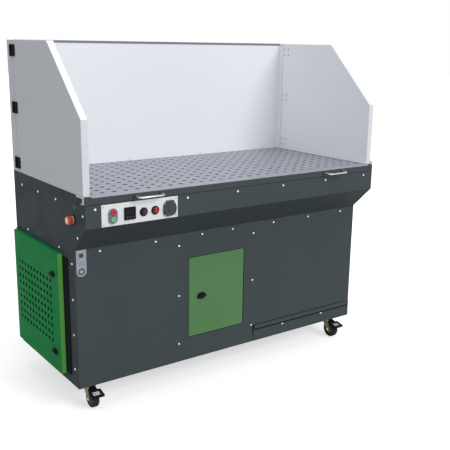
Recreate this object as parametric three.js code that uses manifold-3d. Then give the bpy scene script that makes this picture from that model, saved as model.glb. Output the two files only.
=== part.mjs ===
// Downdraft table: a sheet-steel cabinet on four casters, with a perforated worktop,
// a pull-out spark tray, two hinged side wings and a back wall. A fan inside draws the
// air down through the worktop, across two filter cartridges and out at the side door.
// Millimetres, +Z up. The pieces are drawn in the cabinet's own frame: x from the left
// face, y from the front face towards the back, z from the floor.

import * as THREE from "three";
import { mergeVertices } from "three/addons/utils/BufferGeometryUtils.js";
import Module from "manifold-3d";

const wasm = await Module();
wasm.setup();

// Clearances, and the sides that stand for a round
const restGap = 0.3;
const slideGap = 1;
const boreGap = 0.3;
const overrun = 5;
const fineSides = 20;
const midSides = 12;
const coarseSides = 8;
const holeSides = 6;

// Cabinet
const cabinet = { width: 1500, depth: 714, height: 800, floorGap: 112, sheet: 2 };
const nose = { drop: 118, setback: 107, slantDrop: 103, returnDepth: 12, flangeDrop: 28, seam: 2 };
const panelReturn = { depth: 15, topDrop: 6 };
const base = { rim: 40, plate: 3, ribWidth: 40, ribHeight: 20 };

// Worktop, its rim and the spark tray below it
const worktop = { plate: 3, holeRadius: 6.5, holePitch: 50, firstRow: 62, edge: 12, cutEvery: 2 };
const rim = { plate: 3, skirtDrop: 60, ledge: 20, rearLedge: 22, barWidth: 30, bars: 2 };
const tray = { frontHeight: 29, rearGap: 44, wall: 2, sideGap: 1, border: 30, strand: 12 };
const trayMesh = { columns: 10, rows: 4 };
const handle = { fromEnd: 261, span: 112, reach: 45, wire: 4, bend: 12, drop: 14, steps: 20 };
const handleFoot = { radius: 8, length: 3 };

// Walls
const wall = { height: 553, thickness: 28, skin: 2, backThickness: 32 };
const wing = { front: 15, slopeStart: 281, slopeEnd: 294, rearGap: 2.5 };
const post = { depth: 57 };
const hook = { front: 5, length: 65, leg: 19, foot: 31, above: 15, below: 12, window: 8, toe: 7, plate: 2 };
const stud = { gap: 1.5, fromLeg: 4, short: 5, proud: 4 };
const leaf = { plate: 5, height: 48, wingReach: 30, postReach: 24, knuckle: 5, pin: 3 };
const leafAxis = { out: 6, front: 1.5 };
const hingeHeights = { bottom: 41, middle: 276, top: 511 };

// Control panel on the nose
const controlPlate = { left: 64, width: 332, top: 33, height: 84, plate: 1.5 };
const twin = { place: 46, low: 3, width: 34, height: 57, proud: 8, neck: 11, depth: 32 };
const key = { radius: 11, spread: 12.5, length: 5.7, proud: 2.2, travel: 3 };
const meter = { place: 118, low: 1.5, face: 48, proud: 7, body: 44, depth: 50 };
const lamp = { low: 3, bezel: 17, bezelProud: 4, lens: 11, lensProud: 12, neck: 11, depth: 36 };
const lampPlaces = { running: 178, fault: 229 };
const socket = { place: 293, low: 4, flange: 54, proud: 7, body: 22, depth: 38, well: 19, wellDepth: 16 };
const lid = { radius: 24, plate: 6, boss: 3, axisUp: 29, knuckle: 4, pin: 2, length: 20, ear: 5 };
const estop = { y: 104, drop: 101, collar: 20, collarDepth: 12, neck: 11, depth: 26 };
const plunger = { radius: 5, travel: 4, depth: 14, cap: 17.5, capDepth: 12 };

// Front access door with its quarter-turn latch
const frontDoor = { inset: 50, width: 293, top: 338, foot: 105, depth: 15, gap: 3, hingeGap: 4 };
const frontPin = { radius: 3, fromEdge: 6, fromFace: 6, stand: 4 };
const jamb = { depth: 17, plate: 2 };
const latch = { fromEdge: 65, shaft: 4.5, knobProud: 12, knobHalf: 23, knobWaist: 15.5 };
const cam = { width: 20, plate: 3, overlap: 8, heel: 10 };

// Side door with its two latches
const sideDoor = { front: 218, rear: 22, top: 260, foot: 30, proud: 22 };
const sideFit = { lap: 17, clear: 1.5, hingeClear: 3 };
const sidePin = { radius: 3, fromEdge: 4, out: 6.5, lug: 3, lugOut: 12, lugHalf: 8, stand: 3 };
const vent = { front: 69, rear: 33, top: 116, foot: 102, columns: 5, rows: 6 };
const ventSlot = { width: 42, height: 18 };
const sideLatch = { fromFront: 60, upper: 98, lower: 79 };

// Dust drawer
const drawer = { inset: 14, frontHeight: 78, lip: 16, plate: 2, proud: 2, lipProud: 8, lipEnd: 6 };
const drawerPan = { left: 5, right: 20, rearGap: 82.4, height: 44 };

// Air path inside
const hopper = { side: 4, front: 16, rear: 12, endDrop: 30, floorDrop: 160, plate: 2 };
const filterWall = { x: 868, plate: 2 };
const cartridge = { clear: 15, paper: 70.6, lip: 3, endGap: 67, cap: 12, step: 7, aboveDrawer: 132 };
const fan = { x: 472, y: 304, rise: 312, inlet: 108 };
const scroll = { width: 170, plate: 3, inner: 172, outer: 226, mouth: 238, tongue: 60, steps: 15 };
const scrollTurnShare = 0.75;
const impeller = { radius: 158, root: 95, plate: 4, width: 100, set: 14 };
const hub = { radius: 26, length: 50 };
const blade = { count: 10, plate: 4 };
const bladeLeanShare = 0.35;
const motor = { flange: 100, flangePlate: 10, body: 82, length: 170, cowl: 86, cowlLength: 36 };
const motorShaft = { radius: 12, reach: 90 };
const terminal = { halfWidth: 38, top: 112, length: 80, inset: 40 };
const electrics = { overlap: 4, width: 360, height: 120, depth: 62, top: 48, wall: 2, rail: 8 };
const electricBlocks = { count: 4, width: 45, height: 70, depth: 40, pitch: 70 };
const gland = { x: 250, rise: 145, neck: 9, flange: 13, flangeDepth: 5 };
const glandEnds = { dome: 10, reach: 20, nut: 13, nutDepth: 6 };

// Casters
const caster = { insetX: 75, rearInsetX: 120, insetY: 74, plateX: 50, plateY: 42, plate: 4 };
const swivelHead = { radius: 25, height: 6 };
const wheel = { radius: 40, width: 28, shoulder: 3, hub: 16, dish: 4 };
const fork = { gap: 2, plate: 3, trail: 35, crownY: 21, axle: 5, axleHead: 3, eye: 13, headGap: 0.7 };
const pedal = { plate: 4, arm: 14, pad: 27, padStart: 55, reach: 98, fall: 21 };
const pedalPivot = { y: 12, drop: 9, boss: 5.5, pin: 2.5 };
const pedalWindow = { half: 17, front: 9, rear: 8 };

// Levels and planes that several pieces share
const topZ = cabinet.floorGap + cabinet.height;
const plateBottom = topZ - worktop.plate;
const ledgeTop = plateBottom - restGap;
const ledgeBottom = ledgeTop - rim.plate;
const stripBottom = topZ - tray.frontHeight;
const runnerTop = stripBottom - restGap;
const runnerBottom = runnerTop - rim.plate;
const skirtBottom = topZ - rim.skirtDrop;
const fasciaTop = stripBottom - nose.seam;
const noseBottom = topZ - nose.drop;
const slantEnd = noseBottom - nose.slantDrop;
const baseFloor = cabinet.floorGap + base.plate;
const baseTop = cabinet.floorGap + base.rim;
const wallBottom = topZ + restGap;
const wallTop = topZ + wall.height;
const wallFace = cabinet.depth - wall.backThickness;
const inner = {
  left: cabinet.sheet + restGap,
  right: cabinet.width - cabinet.sheet - restGap,
  front: nose.setback + cabinet.sheet + restGap,
  rear: cabinet.depth - cabinet.sheet - restGap,
};
const plateFace = -restGap - controlPlate.plate;
const deviceFace = plateFace - restGap;
const railStart = nose.returnDepth + cabinet.sheet;
const hingeX = -leafAxis.out;
const glandZ = baseFloor + gland.rise;
const drawerLeft = filterWall.x + drawer.inset;
const postFront = cabinet.depth - post.depth;
const hingeY = postFront - leafAxis.front;
const plateMiddle = topZ - controlPlate.top - controlPlate.height / 2;
const innerDepth = inner.rear - inner.front;

// Shares of a turned cap: its face to its edge, and its edge to its depth
const capShares = { face: 0.75, edge: 0.65 };

// Materials
function paint(color, roughness, metalness) {
  return new THREE.MeshStandardMaterial({ color, roughness, metalness });
}
const anthracite = paint(0x464c4e, 0.55, 0.2);
const wallWhite = paint(0xdfe2e8, 0.5, 0.1);
const galvanised = paint(0xaaadb9, 0.4, 0.8);
const doorGreen = paint(0x5a8254, 0.5, 0.15);
const sideGreen = paint(0x1e7d37, 0.5, 0.15);
const blackPlastic = paint(0x1c1e20, 0.5, 0);
const greyPlastic = paint(0x8c9094, 0.5, 0);
const redPlastic = paint(0xb4232a, 0.35, 0);
const darkRed = paint(0x5a1a22, 0.25, 0);
const greenPlastic = paint(0x2fa070, 0.35, 0);
const yellowPlastic = paint(0xd8b52a, 0.45, 0);
const plateWhite = paint(0xe6e9ec, 0.35, 0.4);
const zinc = paint(0x9a8a4c, 0.35, 0.9);
const rubber = paint(0x1b1d1d, 0.8, 0);
const steel = paint(0xc0c4c8, 0.25, 1);
const castGrey = paint(0x5f6a72, 0.5, 0.4);
const filterPaper = paint(0xd9d2bd, 0.9, 0);

// A closed geometry as a solid, with its shared vertices merged
function solidOf(geometry) {
  const bare = geometry.index ? geometry.toNonIndexed() : geometry.clone();
  bare.deleteAttribute("normal");
  bare.deleteAttribute("uv");
  const merged = mergeVertices(bare, 1e-3);
  const index = merged.index.array;
  const triangles = [];
  for (let i = 0; i < index.length; i += 3) {
    const [a, b, c] = index.subarray(i, i + 3);
    if (a !== b && b !== c && c !== a) triangles.push(a, b, c);
  }
  return new wasm.Manifold(
    new wasm.Mesh({
      numProp: 3,
      vertProperties: merged.attributes.position.array,
      triVerts: new Uint32Array(triangles),
    }),
  );
}

// A solid as a three.js geometry with flat faces
function geometryOf(solid) {
  const mesh = solid.getMesh();
  const geometry = new THREE.BufferGeometry();
  geometry.setAttribute("position", new THREE.BufferAttribute(mesh.vertProperties, mesh.numProp));
  geometry.setIndex(new THREE.BufferAttribute(mesh.triVerts, 1));
  const flat = geometry.toNonIndexed();
  flat.computeVertexNormals();
  return flat;
}

const join = (...solids) => solids.reduce((whole, next) => whole.add(next));
const cut = (whole, ...tools) => tools.reduce((left, tool) => left.subtract(tool), whole);

const unitX = new THREE.Vector3(1, 0, 0);
const unitY = new THREE.Vector3(0, 1, 0);
const unitZ = new THREE.Vector3(0, 0, 1);

// A box between two values on each axis
function box([x0, x1], [y0, y1], [z0, z1]) {
  const geometry = new THREE.BoxGeometry(x1 - x0, y1 - y0, z1 - z0);
  geometry.translate((x0 + x1) / 2, (y0 + y1) / 2, (z0 + z1) / 2);
  return solidOf(geometry);
}

// A flat outline pushed along an axis. Its points are pairs on the other two axes,
// in the order x, y, z.
function extrude(axis, points, [from, to]) {
  const turned = axis === "y" ? points.map(([x, z]) => [z, x]) : points;
  const shape = new THREE.Shape(turned.map(([a, b]) => new THREE.Vector2(a, b)));
  const geometry = new THREE.ExtrudeGeometry(shape, { depth: to - from, bevelEnabled: false });
  geometry.translate(0, 0, from);
  const basis = new THREE.Matrix4();
  if (axis === "x") basis.makeBasis(unitY, unitZ, unitX);
  if (axis === "y") basis.makeBasis(unitZ, unitX, unitY);
  geometry.applyMatrix4(basis);
  return solidOf(geometry);
}

// Points on a circle round a centre
function circle([u, v], radius, sides) {
  return Array.from({ length: sides }, (_, i) => {
    const angle = ((i + 0.5) * 2 * Math.PI) / sides;
    return [u + radius * Math.cos(angle), v + radius * Math.sin(angle)];
  });
}

// The distance from the centre of a regular outline to its flats
const toFlat = (radius, sides) => radius * Math.cos(Math.PI / sides);

const rod = (axis, centre, radius, span, sides) => extrude(axis, circle(centre, radius, sides), span);

// The cutter for a hole that clears a round of the given radius all the way round
function clearBore(axis, centre, radius, span, sides) {
  return rod(axis, centre, (radius + boreGap) / Math.cos(Math.PI / sides), span, sides);
}

// An outline moved sideways by a distance, to the left of its direction of travel
function offset(points, distance, closed) {
  const count = points.length;
  const normal = (i) => {
    const [ax, ay] = points[(i + count) % count];
    const [bx, by] = points[(i + 1) % count];
    const length = Math.hypot(bx - ax, by - ay);
    return [(ay - by) / length, (bx - ax) / length];
  };
  return points.map(([x, y], i) => {
    const before = closed || i > 0 ? normal(i - 1) : normal(i);
    const after = closed || i < count - 1 ? normal(i) : normal(i - 1);
    const scale = distance / (1 + before[0] * after[0] + before[1] * after[1]);
    return [x + scale * (before[0] + after[0]), y + scale * (before[1] + after[1])];
  });
}

// A sheet bent along an open path, its thickness to the left of the path
function bentSheet(axis, path, thickness, span) {
  const far = offset(path, thickness, false).reverse();
  return extrude(axis, [...path, ...far], span);
}

// A profile of radius and height turned round an axis. It starts and ends on the
// axis or closes on itself, and its outer side is drawn upwards.
function turned(axis, [u, v], profile, sides) {
  const points = profile.map(([radius, height]) => new THREE.Vector2(radius, height));
  const geometry = new THREE.LatheGeometry(points, sides, Math.PI / sides);
  const basis = new THREE.Matrix4();
  if (axis === "x") basis.makeBasis(unitZ, unitX, unitY).setPosition(0, u, v);
  if (axis === "y") basis.setPosition(u, 0, v);
  if (axis === "z") basis.makeBasis(unitY, unitZ, unitX).setPosition(u, v, 0);
  geometry.applyMatrix4(basis);
  return solidOf(geometry);
}

const table = new THREE.Group();

function add(name, solid, material, group = table) {
  const mesh = new THREE.Mesh(geometryOf(solid), material);
  mesh.name = name;
  group.add(mesh);
}

// The same piece on the other side of the cabinet
function mirrored(solid) {
  return solid.mirror([1, 0, 0]).translate([cabinet.width, 0, 0]);
}

// Base pan: a folded floor with upturned edges and cross ribs, open at the front where
// the dust drawer slides in
function basePan() {
  const xs = [inner.left, inner.right];
  const ys = [inner.front, inner.rear];
  const outside = box(xs, ys, [cabinet.floorGap, baseTop]);
  const hollow = box(
    [xs[0] + base.plate, xs[1] - base.plate],
    [ys[0] + base.plate, ys[1] - base.plate],
    [baseFloor, baseTop + overrun],
  );
  const drawerGate = box(
    [drawerLeft + drawerPan.left - slideGap * 2, cabinet.width - drawerPan.right + slideGap * 2],
    [ys[0] - overrun, ys[0] + base.plate + overrun],
    [baseFloor, baseTop + overrun],
  );
  const ribs = [caster.insetX, fan.x - base.ribWidth * 2, filterWall.x - base.ribWidth * 2].map((x) =>
    box(
      [x - base.ribWidth / 2, x + base.ribWidth / 2],
      [ys[0] + base.plate / 2, ys[1] - base.plate / 2],
      [baseFloor - base.plate / 2, baseFloor + base.ribHeight],
    ),
  );
  return join(cut(outside, hollow, drawerGate), ...ribs);
}

// Outline of a side panel, from the strip's seam down the nose and round the cabinet
const sideOutline = [
  [0, fasciaTop],
  [0, noseBottom],
  [nose.setback, slantEnd],
  [nose.setback, cabinet.floorGap],
  [cabinet.depth, cabinet.floorGap],
  [cabinet.depth, ledgeTop],
  [cabinet.sheet + restGap, ledgeTop],
  [cabinet.sheet + restGap, fasciaTop],
];

const sideSheet = () => extrude("x", sideOutline, [0, cabinet.sheet]);

// The fixed stud that the wing's hook reaches round
function wingStud() {
  const ys = [hook.front + hook.leg + stud.fromLeg, hook.front + hook.leg + hook.foot - stud.short];
  const zs = [topZ - hook.below - hook.window + stud.gap, topZ - hook.below - stud.gap];
  return box([-stud.proud, cabinet.sheet / 2], ys, zs);
}

const sideDoorTop = topZ - sideDoor.top;
const sideDoorBottom = cabinet.floorGap + sideDoor.foot;
const sideDoorRear = cabinet.depth - sideDoor.rear;
const sidePinY = sideDoorRear - sidePin.fromEdge;
const sideOpening = {
  ys: [sideDoor.front + sideFit.lap, sideDoorRear - sideFit.lap],
  zs: [sideDoorBottom + sideFit.lap, sideDoorTop - sideFit.lap],
};

// A lug that stands out of the side panel and holds one of the side door's pins
function sideLug(low) {
  const plate = box(
    [-sidePin.lugOut, cabinet.sheet / 2],
    [sidePinY - sidePin.lugHalf, sidePinY + sidePin.lugHalf],
    [low, low + sidePin.lug],
  );
  const hole = clearBore(
    "z",
    [-sidePin.out, sidePinY],
    sidePin.radius,
    [low - overrun, low + sidePin.lug + overrun],
    midSides,
  );
  return cut(plate, hole);
}

const estopZ = topZ - estop.drop;
const estopHole = () =>
  clearBore("x", [estop.y, estopZ], estop.neck, [-overrun, inner.left + cabinet.sheet + overrun], midSides);

function leftPanel() {
  const opening = box([-overrun, cabinet.sheet + overrun], sideOpening.ys, sideOpening.zs);
  const lugs = [sideDoorTop + sidePin.stand, sideDoorBottom - sidePin.stand - sidePin.lug].map(sideLug);
  return join(cut(sideSheet(), opening, estopHole()), wingStud(), ...lugs);
}

const rightPanel = () => mirrored(join(sideSheet(), wingStud()));

// Rear panel with forward returns at its ends and a hole for the cable gland
function rearPanel() {
  const face = box([inner.left, inner.right], [cabinet.depth - cabinet.sheet, cabinet.depth], [
    cabinet.floorGap,
    ledgeTop,
  ]);
  const returns = [inner.left, inner.right - cabinet.sheet].map((x) =>
    box(
      [x, x + cabinet.sheet],
      [cabinet.depth - cabinet.sheet - panelReturn.depth, cabinet.depth - cabinet.sheet / 2],
      [baseTop + restGap, skirtBottom - restGap],
    ),
  );
  const hole = clearBore(
    "y",
    [gland.x, glandZ],
    gland.neck,
    [cabinet.depth - cabinet.sheet - overrun, cabinet.depth + overrun],
    midSides,
  );
  return cut(join(face, ...returns), hole);
}

const doorLeft = fan.x + frontDoor.inset;
const doorRight = doorLeft + frontDoor.width;
const doorTop = topZ - frontDoor.top;
const doorBottom = cabinet.floorGap + frontDoor.foot;
const doorOpening = {
  xs: [doorLeft - frontDoor.gap, doorRight + frontDoor.hingeGap],
  zs: [doorBottom - frontDoor.gap, doorTop + frontDoor.gap],
};
const frontPinX = doorRight - frontPin.fromEdge;
const frontPinY = nose.setback + frontPin.fromFace;
const frontPanelTop = slantEnd - cabinet.sheet - restGap * 2;
const drawerXs = [drawerLeft + drawerPan.left, cabinet.width - drawerPan.right];
const drawerZs = [baseFloor + restGap, baseFloor + restGap + drawerPan.height];

// Lower front panel: end returns, a folded jamb round the door opening and the mouth
// of the dust drawer
function frontPanel() {
  const face = box([inner.left, inner.right], [nose.setback, nose.setback + cabinet.sheet], [
    cabinet.floorGap,
    frontPanelTop,
  ]);
  const returns = [inner.left, inner.right - cabinet.sheet].map((x) =>
    box(
      [x, x + cabinet.sheet],
      [nose.setback + cabinet.sheet / 2, nose.setback + cabinet.sheet + panelReturn.depth],
      [baseTop + restGap, frontPanelTop - nose.flangeDrop - panelReturn.topDrop],
    ),
  );
  const jambYs = [nose.setback + cabinet.sheet / 2, nose.setback + jamb.depth];
  const [x0, x1] = doorOpening.xs;
  const [z0, z1] = doorOpening.zs;
  const head = box([x0 - jamb.plate, x1 + jamb.plate], jambYs, [z1, z1 + jamb.plate]);
  const sill = box([x0 - jamb.plate, x1 + jamb.plate], jambYs, [z0 - jamb.plate, z0]);
  const strike = box([x0 - jamb.plate, x0], jambYs, [z0 - jamb.plate / 2, z1 + jamb.plate / 2]);
  const opening = box([x0, x1], [nose.setback - overrun, nose.setback + cabinet.sheet + overrun], [z0, z1]);
  const pinHole = clearBore(
    "z",
    [frontPinX, frontPinY],
    frontPin.radius,
    [z0 - jamb.plate - overrun, z1 + jamb.plate + overrun],
    midSides,
  );
  const mouth = box(
    [drawerXs[0] - slideGap, drawerXs[1] + slideGap],
    [nose.setback - overrun, nose.setback + cabinet.sheet + overrun],
    [baseFloor, drawerZs[1] + slideGap],
  );
  return cut(join(cut(face, opening), ...returns, head, sill, strike), pinHole, mouth);
}

const onPlate = (place) => controlPlate.left + place;
const twinX = onPlate(twin.place);
const meterX = onPlate(meter.place);
const socketX = onPlate(socket.place);
const twinZ = plateMiddle - twin.low;
const meterZ = plateMiddle - meter.low;
const lampZ = plateMiddle - lamp.low;
const socketZ = plateMiddle - socket.low;

// Cut-outs that the control plate and the sheet behind it share
function controlCuts() {
  const through = [plateFace - overrun, cabinet.sheet + overrun];
  const half = meter.body / 2 + slideGap / 2;
  return [
    clearBore("y", [twinX, twinZ], twin.neck, through, midSides),
    box([meterX - half, meterX + half], through, [meterZ - half, meterZ + half]),
    ...Object.values(lampPlaces).map((place) =>
      clearBore("y", [onPlate(place), lampZ], lamp.neck, through, midSides),
    ),
    clearBore("y", [socketX, socketZ], socket.body, through, fineSides),
  ];
}

// Fascia: one bent sheet from the seam under the strip, down the front and back along
// the slant, to a flange behind the lower panel, with a gusset at each end
function controlFascia() {
  const slope = nose.slantDrop / nose.setback;
  const flangeY = inner.front;
  const flangeZ = noseBottom - slope * flangeY;
  const path = [
    [flangeY, flangeZ - nose.flangeDrop],
    [flangeY, flangeZ],
    [0, noseBottom],
    [0, fasciaTop],
    [nose.returnDepth, fasciaTop],
  ];
  const skin = bentSheet("x", path, -cabinet.sheet, [inner.left, inner.right]);
  const gussetTop = skirtBottom - restGap;
  const gussetOutline = [
    [0, gussetTop],
    [0, noseBottom],
    [nose.setback, slantEnd],
    [nose.setback, gussetTop],
  ];
  const gussets = [inner.left, inner.right - cabinet.sheet].map((x) =>
    extrude("x", gussetOutline, [x, x + cabinet.sheet]),
  );
  return cut(join(skin, ...gussets), ...controlCuts(), estopHole());
}

// Worktop rim: side rails with a ledge for the plate and a runner for the tray, a rear
// rail that carries the back wall, and flat bars under the plate
function worktopRim() {
  const webIn = wall.thickness;
  const ledgeIn = webIn + rim.ledge;
  const ys = [railStart, wallFace + rim.plate];
  const skirtZs = [skirtBottom, topZ - rim.plate / 2];
  const rails = [
    box([0, webIn], [0, cabinet.depth], [plateBottom, topZ]),
    box([inner.left, inner.left + cabinet.sheet], [railStart, inner.rear], skirtZs),
    box([webIn - rim.plate, webIn], ys, [runnerBottom, topZ - rim.plate / 2]),
    box([webIn - rim.plate, ledgeIn], ys, [ledgeBottom, ledgeTop]),
    box([webIn - rim.plate, ledgeIn], ys, [runnerBottom, runnerTop]),
  ];
  const across = [webIn - rim.plate / 2, cabinet.width - webIn + rim.plate / 2];
  const rear = [
    box(across, [wallFace, cabinet.depth], [plateBottom, topZ]),
    box(across, [wallFace, wallFace + rim.plate], [ledgeBottom, topZ - rim.plate / 2]),
    box(across, [wallFace - rim.rearLedge, wallFace + rim.plate / 2], [ledgeBottom, ledgeTop]),
    box(across, [inner.rear - cabinet.sheet, inner.rear], skirtZs),
  ];
  const front = box(across, [railStart, railStart + rim.barWidth], [ledgeBottom, ledgeTop]);
  const bars = Array.from({ length: rim.bars }, (_, i) => {
    const x = (cabinet.width * (i + 1)) / (rim.bars + 1);
    return box(
      [x - rim.barWidth / 2, x + rim.barWidth / 2],
      [railStart + rim.barWidth / 2, wallFace - rim.rearLedge / 2],
      [ledgeBottom, ledgeTop],
    );
  });
  return join(...rails, ...rails.map(mirrored), ...rear, front, ...bars);
}

// Perforated plate, with every second hole of the pattern cut through
function perforatedPlate() {
  const xs = [wall.thickness + restGap * 2, cabinet.width - wall.thickness - restGap * 2];
  const ys = [0, wallFace - restGap * 2];
  const plate = box(xs, ys, [plateBottom, topZ]);
  const pitch = worktop.holePitch * worktop.cutEvery;
  const holes = [];
  for (let x = cabinet.width / 2; x < xs[1] - worktop.edge; x += pitch) {
    for (let y = worktop.firstRow; y < ys[1] - worktop.edge; y += pitch) {
      for (const place of new Set([x, cabinet.width - x])) {
        const span = [plateBottom - overrun, topZ + overrun];
        holes.push(rod("z", [place, y], worktop.holeRadius, span, holeSides));
      }
    }
  }
  return cut(plate, wasm.Manifold.union(holes));
}

// Spark tray: a shallow drawer with a strip across the whole front and a mesh floor
function sparkTray() {
  const xs = [wall.thickness + tray.sideGap, cabinet.width - wall.thickness - tray.sideGap];
  const ys = [cabinet.sheet / 2, wallFace - tray.rearGap];
  const top = ledgeBottom - slideGap;
  const pan = box(xs, ys, [stripBottom, top]);
  const hollow = box(
    [xs[0] + tray.wall, xs[1] - tray.wall],
    [cabinet.sheet + tray.wall, ys[1] - tray.wall],
    [stripBottom + tray.wall, top + overrun],
  );
  const strip = box([0, cabinet.width], [0, cabinet.sheet], [stripBottom, ledgeTop]);
  const field = [xs[1] - xs[0] - 2 * tray.border, ys[1] - ys[0] - 2 * tray.border];
  const pitch = [(field[0] + tray.strand) / trayMesh.columns, (field[1] + tray.strand) / trayMesh.rows];
  const windows = [];
  for (let i = 0; i < trayMesh.columns; i++) {
    for (let j = 0; j < trayMesh.rows; j++) {
      const x = xs[0] + tray.border + i * pitch[0];
      const y = ys[0] + tray.border + j * pitch[1];
      windows.push(
        box([x, x + pitch[0] - tray.strand], [y, y + pitch[1] - tray.strand], [
          stripBottom - overrun,
          stripBottom + tray.wall + overrun,
        ]),
      );
    }
  }
  return join(cut(pan, hollow, wasm.Manifold.union(windows)), strip);
}

// U-shaped wire handle that stands out of the strip on two round feet
function trayHandle(centre) {
  const z = topZ - handle.drop;
  const left = centre - handle.span / 2;
  const right = centre + handle.span / 2;
  const out = -handle.reach + handle.wire;
  const legEnd = out + handle.bend;
  const barLeft = left + handle.bend;
  const barRight = right - handle.bend;
  const at = (x, y) => new THREE.Vector3(x, y, z);
  const path = new THREE.CurvePath();
  path.add(new THREE.LineCurve3(at(left, -restGap), at(left, legEnd)));
  path.add(new THREE.QuadraticBezierCurve3(at(left, legEnd), at(left, out), at(barLeft, out)));
  path.add(new THREE.LineCurve3(at(barLeft, out), at(barRight, out)));
  path.add(new THREE.QuadraticBezierCurve3(at(barRight, out), at(right, out), at(right, legEnd)));
  path.add(new THREE.LineCurve3(at(right, legEnd), at(right, -restGap)));
  const section = new THREE.Shape(
    circle([0, 0], handle.wire, coarseSides).map(([a, b]) => new THREE.Vector2(a, b)),
  );
  const sweep = { steps: handle.steps, extrudePath: path, bevelEnabled: false };
  const bar = solidOf(new THREE.ExtrudeGeometry(section, sweep));
  const feet = [left, right].map((x) =>
    rod("y", [x, z], handleFoot.radius, [-restGap - handleFoot.length, -restGap], coarseSides),
  );
  return join(bar, ...feet);
}

// Outline of a wing, seen from the side
const wingRear = postFront - wing.rearGap;
const wingOutline = [
  [wing.front, wallBottom],
  [wingRear, wallBottom],
  [wingRear, wallTop],
  [wing.slopeEnd, wallTop],
  [wing.front, topZ + wing.slopeStart],
];

// A wing's half of a hinge: a leaf screwed to its face and the middle knuckle
function wingLeaf(height) {
  const z = topZ + height;
  const third = leaf.height / 6 - restGap / 2;
  const plate = box(
    [-leaf.plate, wall.skin / 2],
    [hingeY - leaf.wingReach, hingeY - leaf.knuckle - restGap],
    [z - leaf.height / 2, z + leaf.height / 2],
  );
  const arm = box([-leaf.plate, -leafAxis.out + leaf.knuckle], [hingeY - leaf.knuckle * 2, hingeY], [
    z - third,
    z + third,
  ]);
  const knuckle = rod("z", [hingeX, hingeY], leaf.knuckle, [z - third, z + third], coarseSides);
  const bore = clearBore(
    "z",
    [hingeX, hingeY],
    leaf.pin,
    [z - leaf.height / 2, z + leaf.height / 2],
    coarseSides,
  );
  return { piece: join(plate, arm, knuckle), bore };
}

// The fixed half: a leaf on the back wall's end post, two knuckles and the pin
function postLeaf(height) {
  const z = topZ + height;
  const low = z - leaf.height / 2;
  const high = z + leaf.height / 2;
  const third = leaf.height / 6 + restGap / 2;
  const plate = box([-leaf.plate, -restGap], [hingeY + leaf.knuckle + restGap, hingeY + leaf.postReach], [
    low,
    high,
  ]);
  const knuckles = [
    [low, z - third],
    [z + third, high],
  ].flatMap((zs) => [
    box([-leaf.plate, -leafAxis.out + leaf.knuckle], [hingeY, hingeY + leaf.knuckle * 2], zs),
    rod("z", [hingeX, hingeY], leaf.knuckle, zs, coarseSides),
  ]);
  const pin = rod("z", [hingeX, hingeY], leaf.pin, [low, high], coarseSides);
  return join(plate, ...knuckles, pin);
}

// The hook at the wing's front foot, open towards the back round the fixed stud
function wingHook() {
  const legRear = hook.front + hook.leg;
  const rear = hook.front + hook.length;
  const windowTop = topZ - hook.below;
  const windowFloor = windowTop - hook.window;
  const outline = [
    [hook.front, topZ + hook.above],
    [hook.front, windowFloor - hook.toe],
    [legRear + hook.foot, windowFloor - hook.toe],
    [legRear + hook.foot, windowFloor],
    [legRear, windowFloor],
    [legRear, windowTop],
    [rear, windowTop],
    [rear, topZ + hook.above],
  ];
  const plate = extrude("x", outline, [-restGap - hook.plate, -restGap]);
  const weld = box([-restGap - hook.plate / 2, wall.skin / 2], [wing.front, rear], [
    wallBottom,
    topZ + hook.above,
  ]);
  return join(plate, weld);
}

// Wing: a hollow panel of folded sheet, open at the bottom
function wingPanel() {
  const outside = extrude("x", wingOutline, [0, wall.thickness]);
  const inside = offset(wingOutline, wall.skin, true);
  const cavity = inside.map(([y, z], i) => [y, i < 2 ? wallBottom - overrun : z]);
  const hollow = extrude("x", cavity, [wall.skin, wall.thickness - wall.skin]);
  const leaves = Object.values(hingeHeights).map(wingLeaf);
  const whole = join(cut(outside, hollow), wingHook(), ...leaves.map((half) => half.piece));
  return cut(whole, ...leaves.map((half) => half.bore));
}

// Back wall: a hollow panel with a deeper post at each end, open at the bottom
function backWall() {
  const ends = (inset) => [
    [inset, wall.thickness - inset],
    [cabinet.width - wall.thickness + inset, cabinet.width - inset],
  ];
  const block = (inset, low, high) => [
    box([inset, cabinet.width - inset], [wallFace + inset, cabinet.depth - inset], [low, high]),
    ...ends(inset).map((xs) => box(xs, [postFront + inset, cabinet.depth - inset], [low, high])),
  ];
  const outside = join(...block(0, wallBottom, wallTop));
  const hollow = join(...block(wall.skin, wallBottom - overrun, wallTop - wall.skin));
  return cut(outside, hollow);
}

function controlPlateSheet() {
  const top = topZ - controlPlate.top;
  const plate = box(
    [controlPlate.left, controlPlate.left + controlPlate.width],
    [plateFace, -restGap],
    [top - controlPlate.height, top],
  );
  return cut(plate, ...controlCuts());
}

// Outline of a slot with round ends, upright
function uprightSlot([u, v], radius, height, sides) {
  const half = height / 2 - radius;
  const points = [];
  for (let i = 0; i <= sides; i++) {
    const angle = (i * Math.PI) / sides;
    points.push([u + radius * Math.cos(angle), v + half + radius * Math.sin(angle)]);
  }
  for (let i = 0; i <= sides; i++) {
    const angle = Math.PI + (i * Math.PI) / sides;
    points.push([u + radius * Math.cos(angle), v - half + radius * Math.sin(angle)]);
  }
  return points;
}

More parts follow.
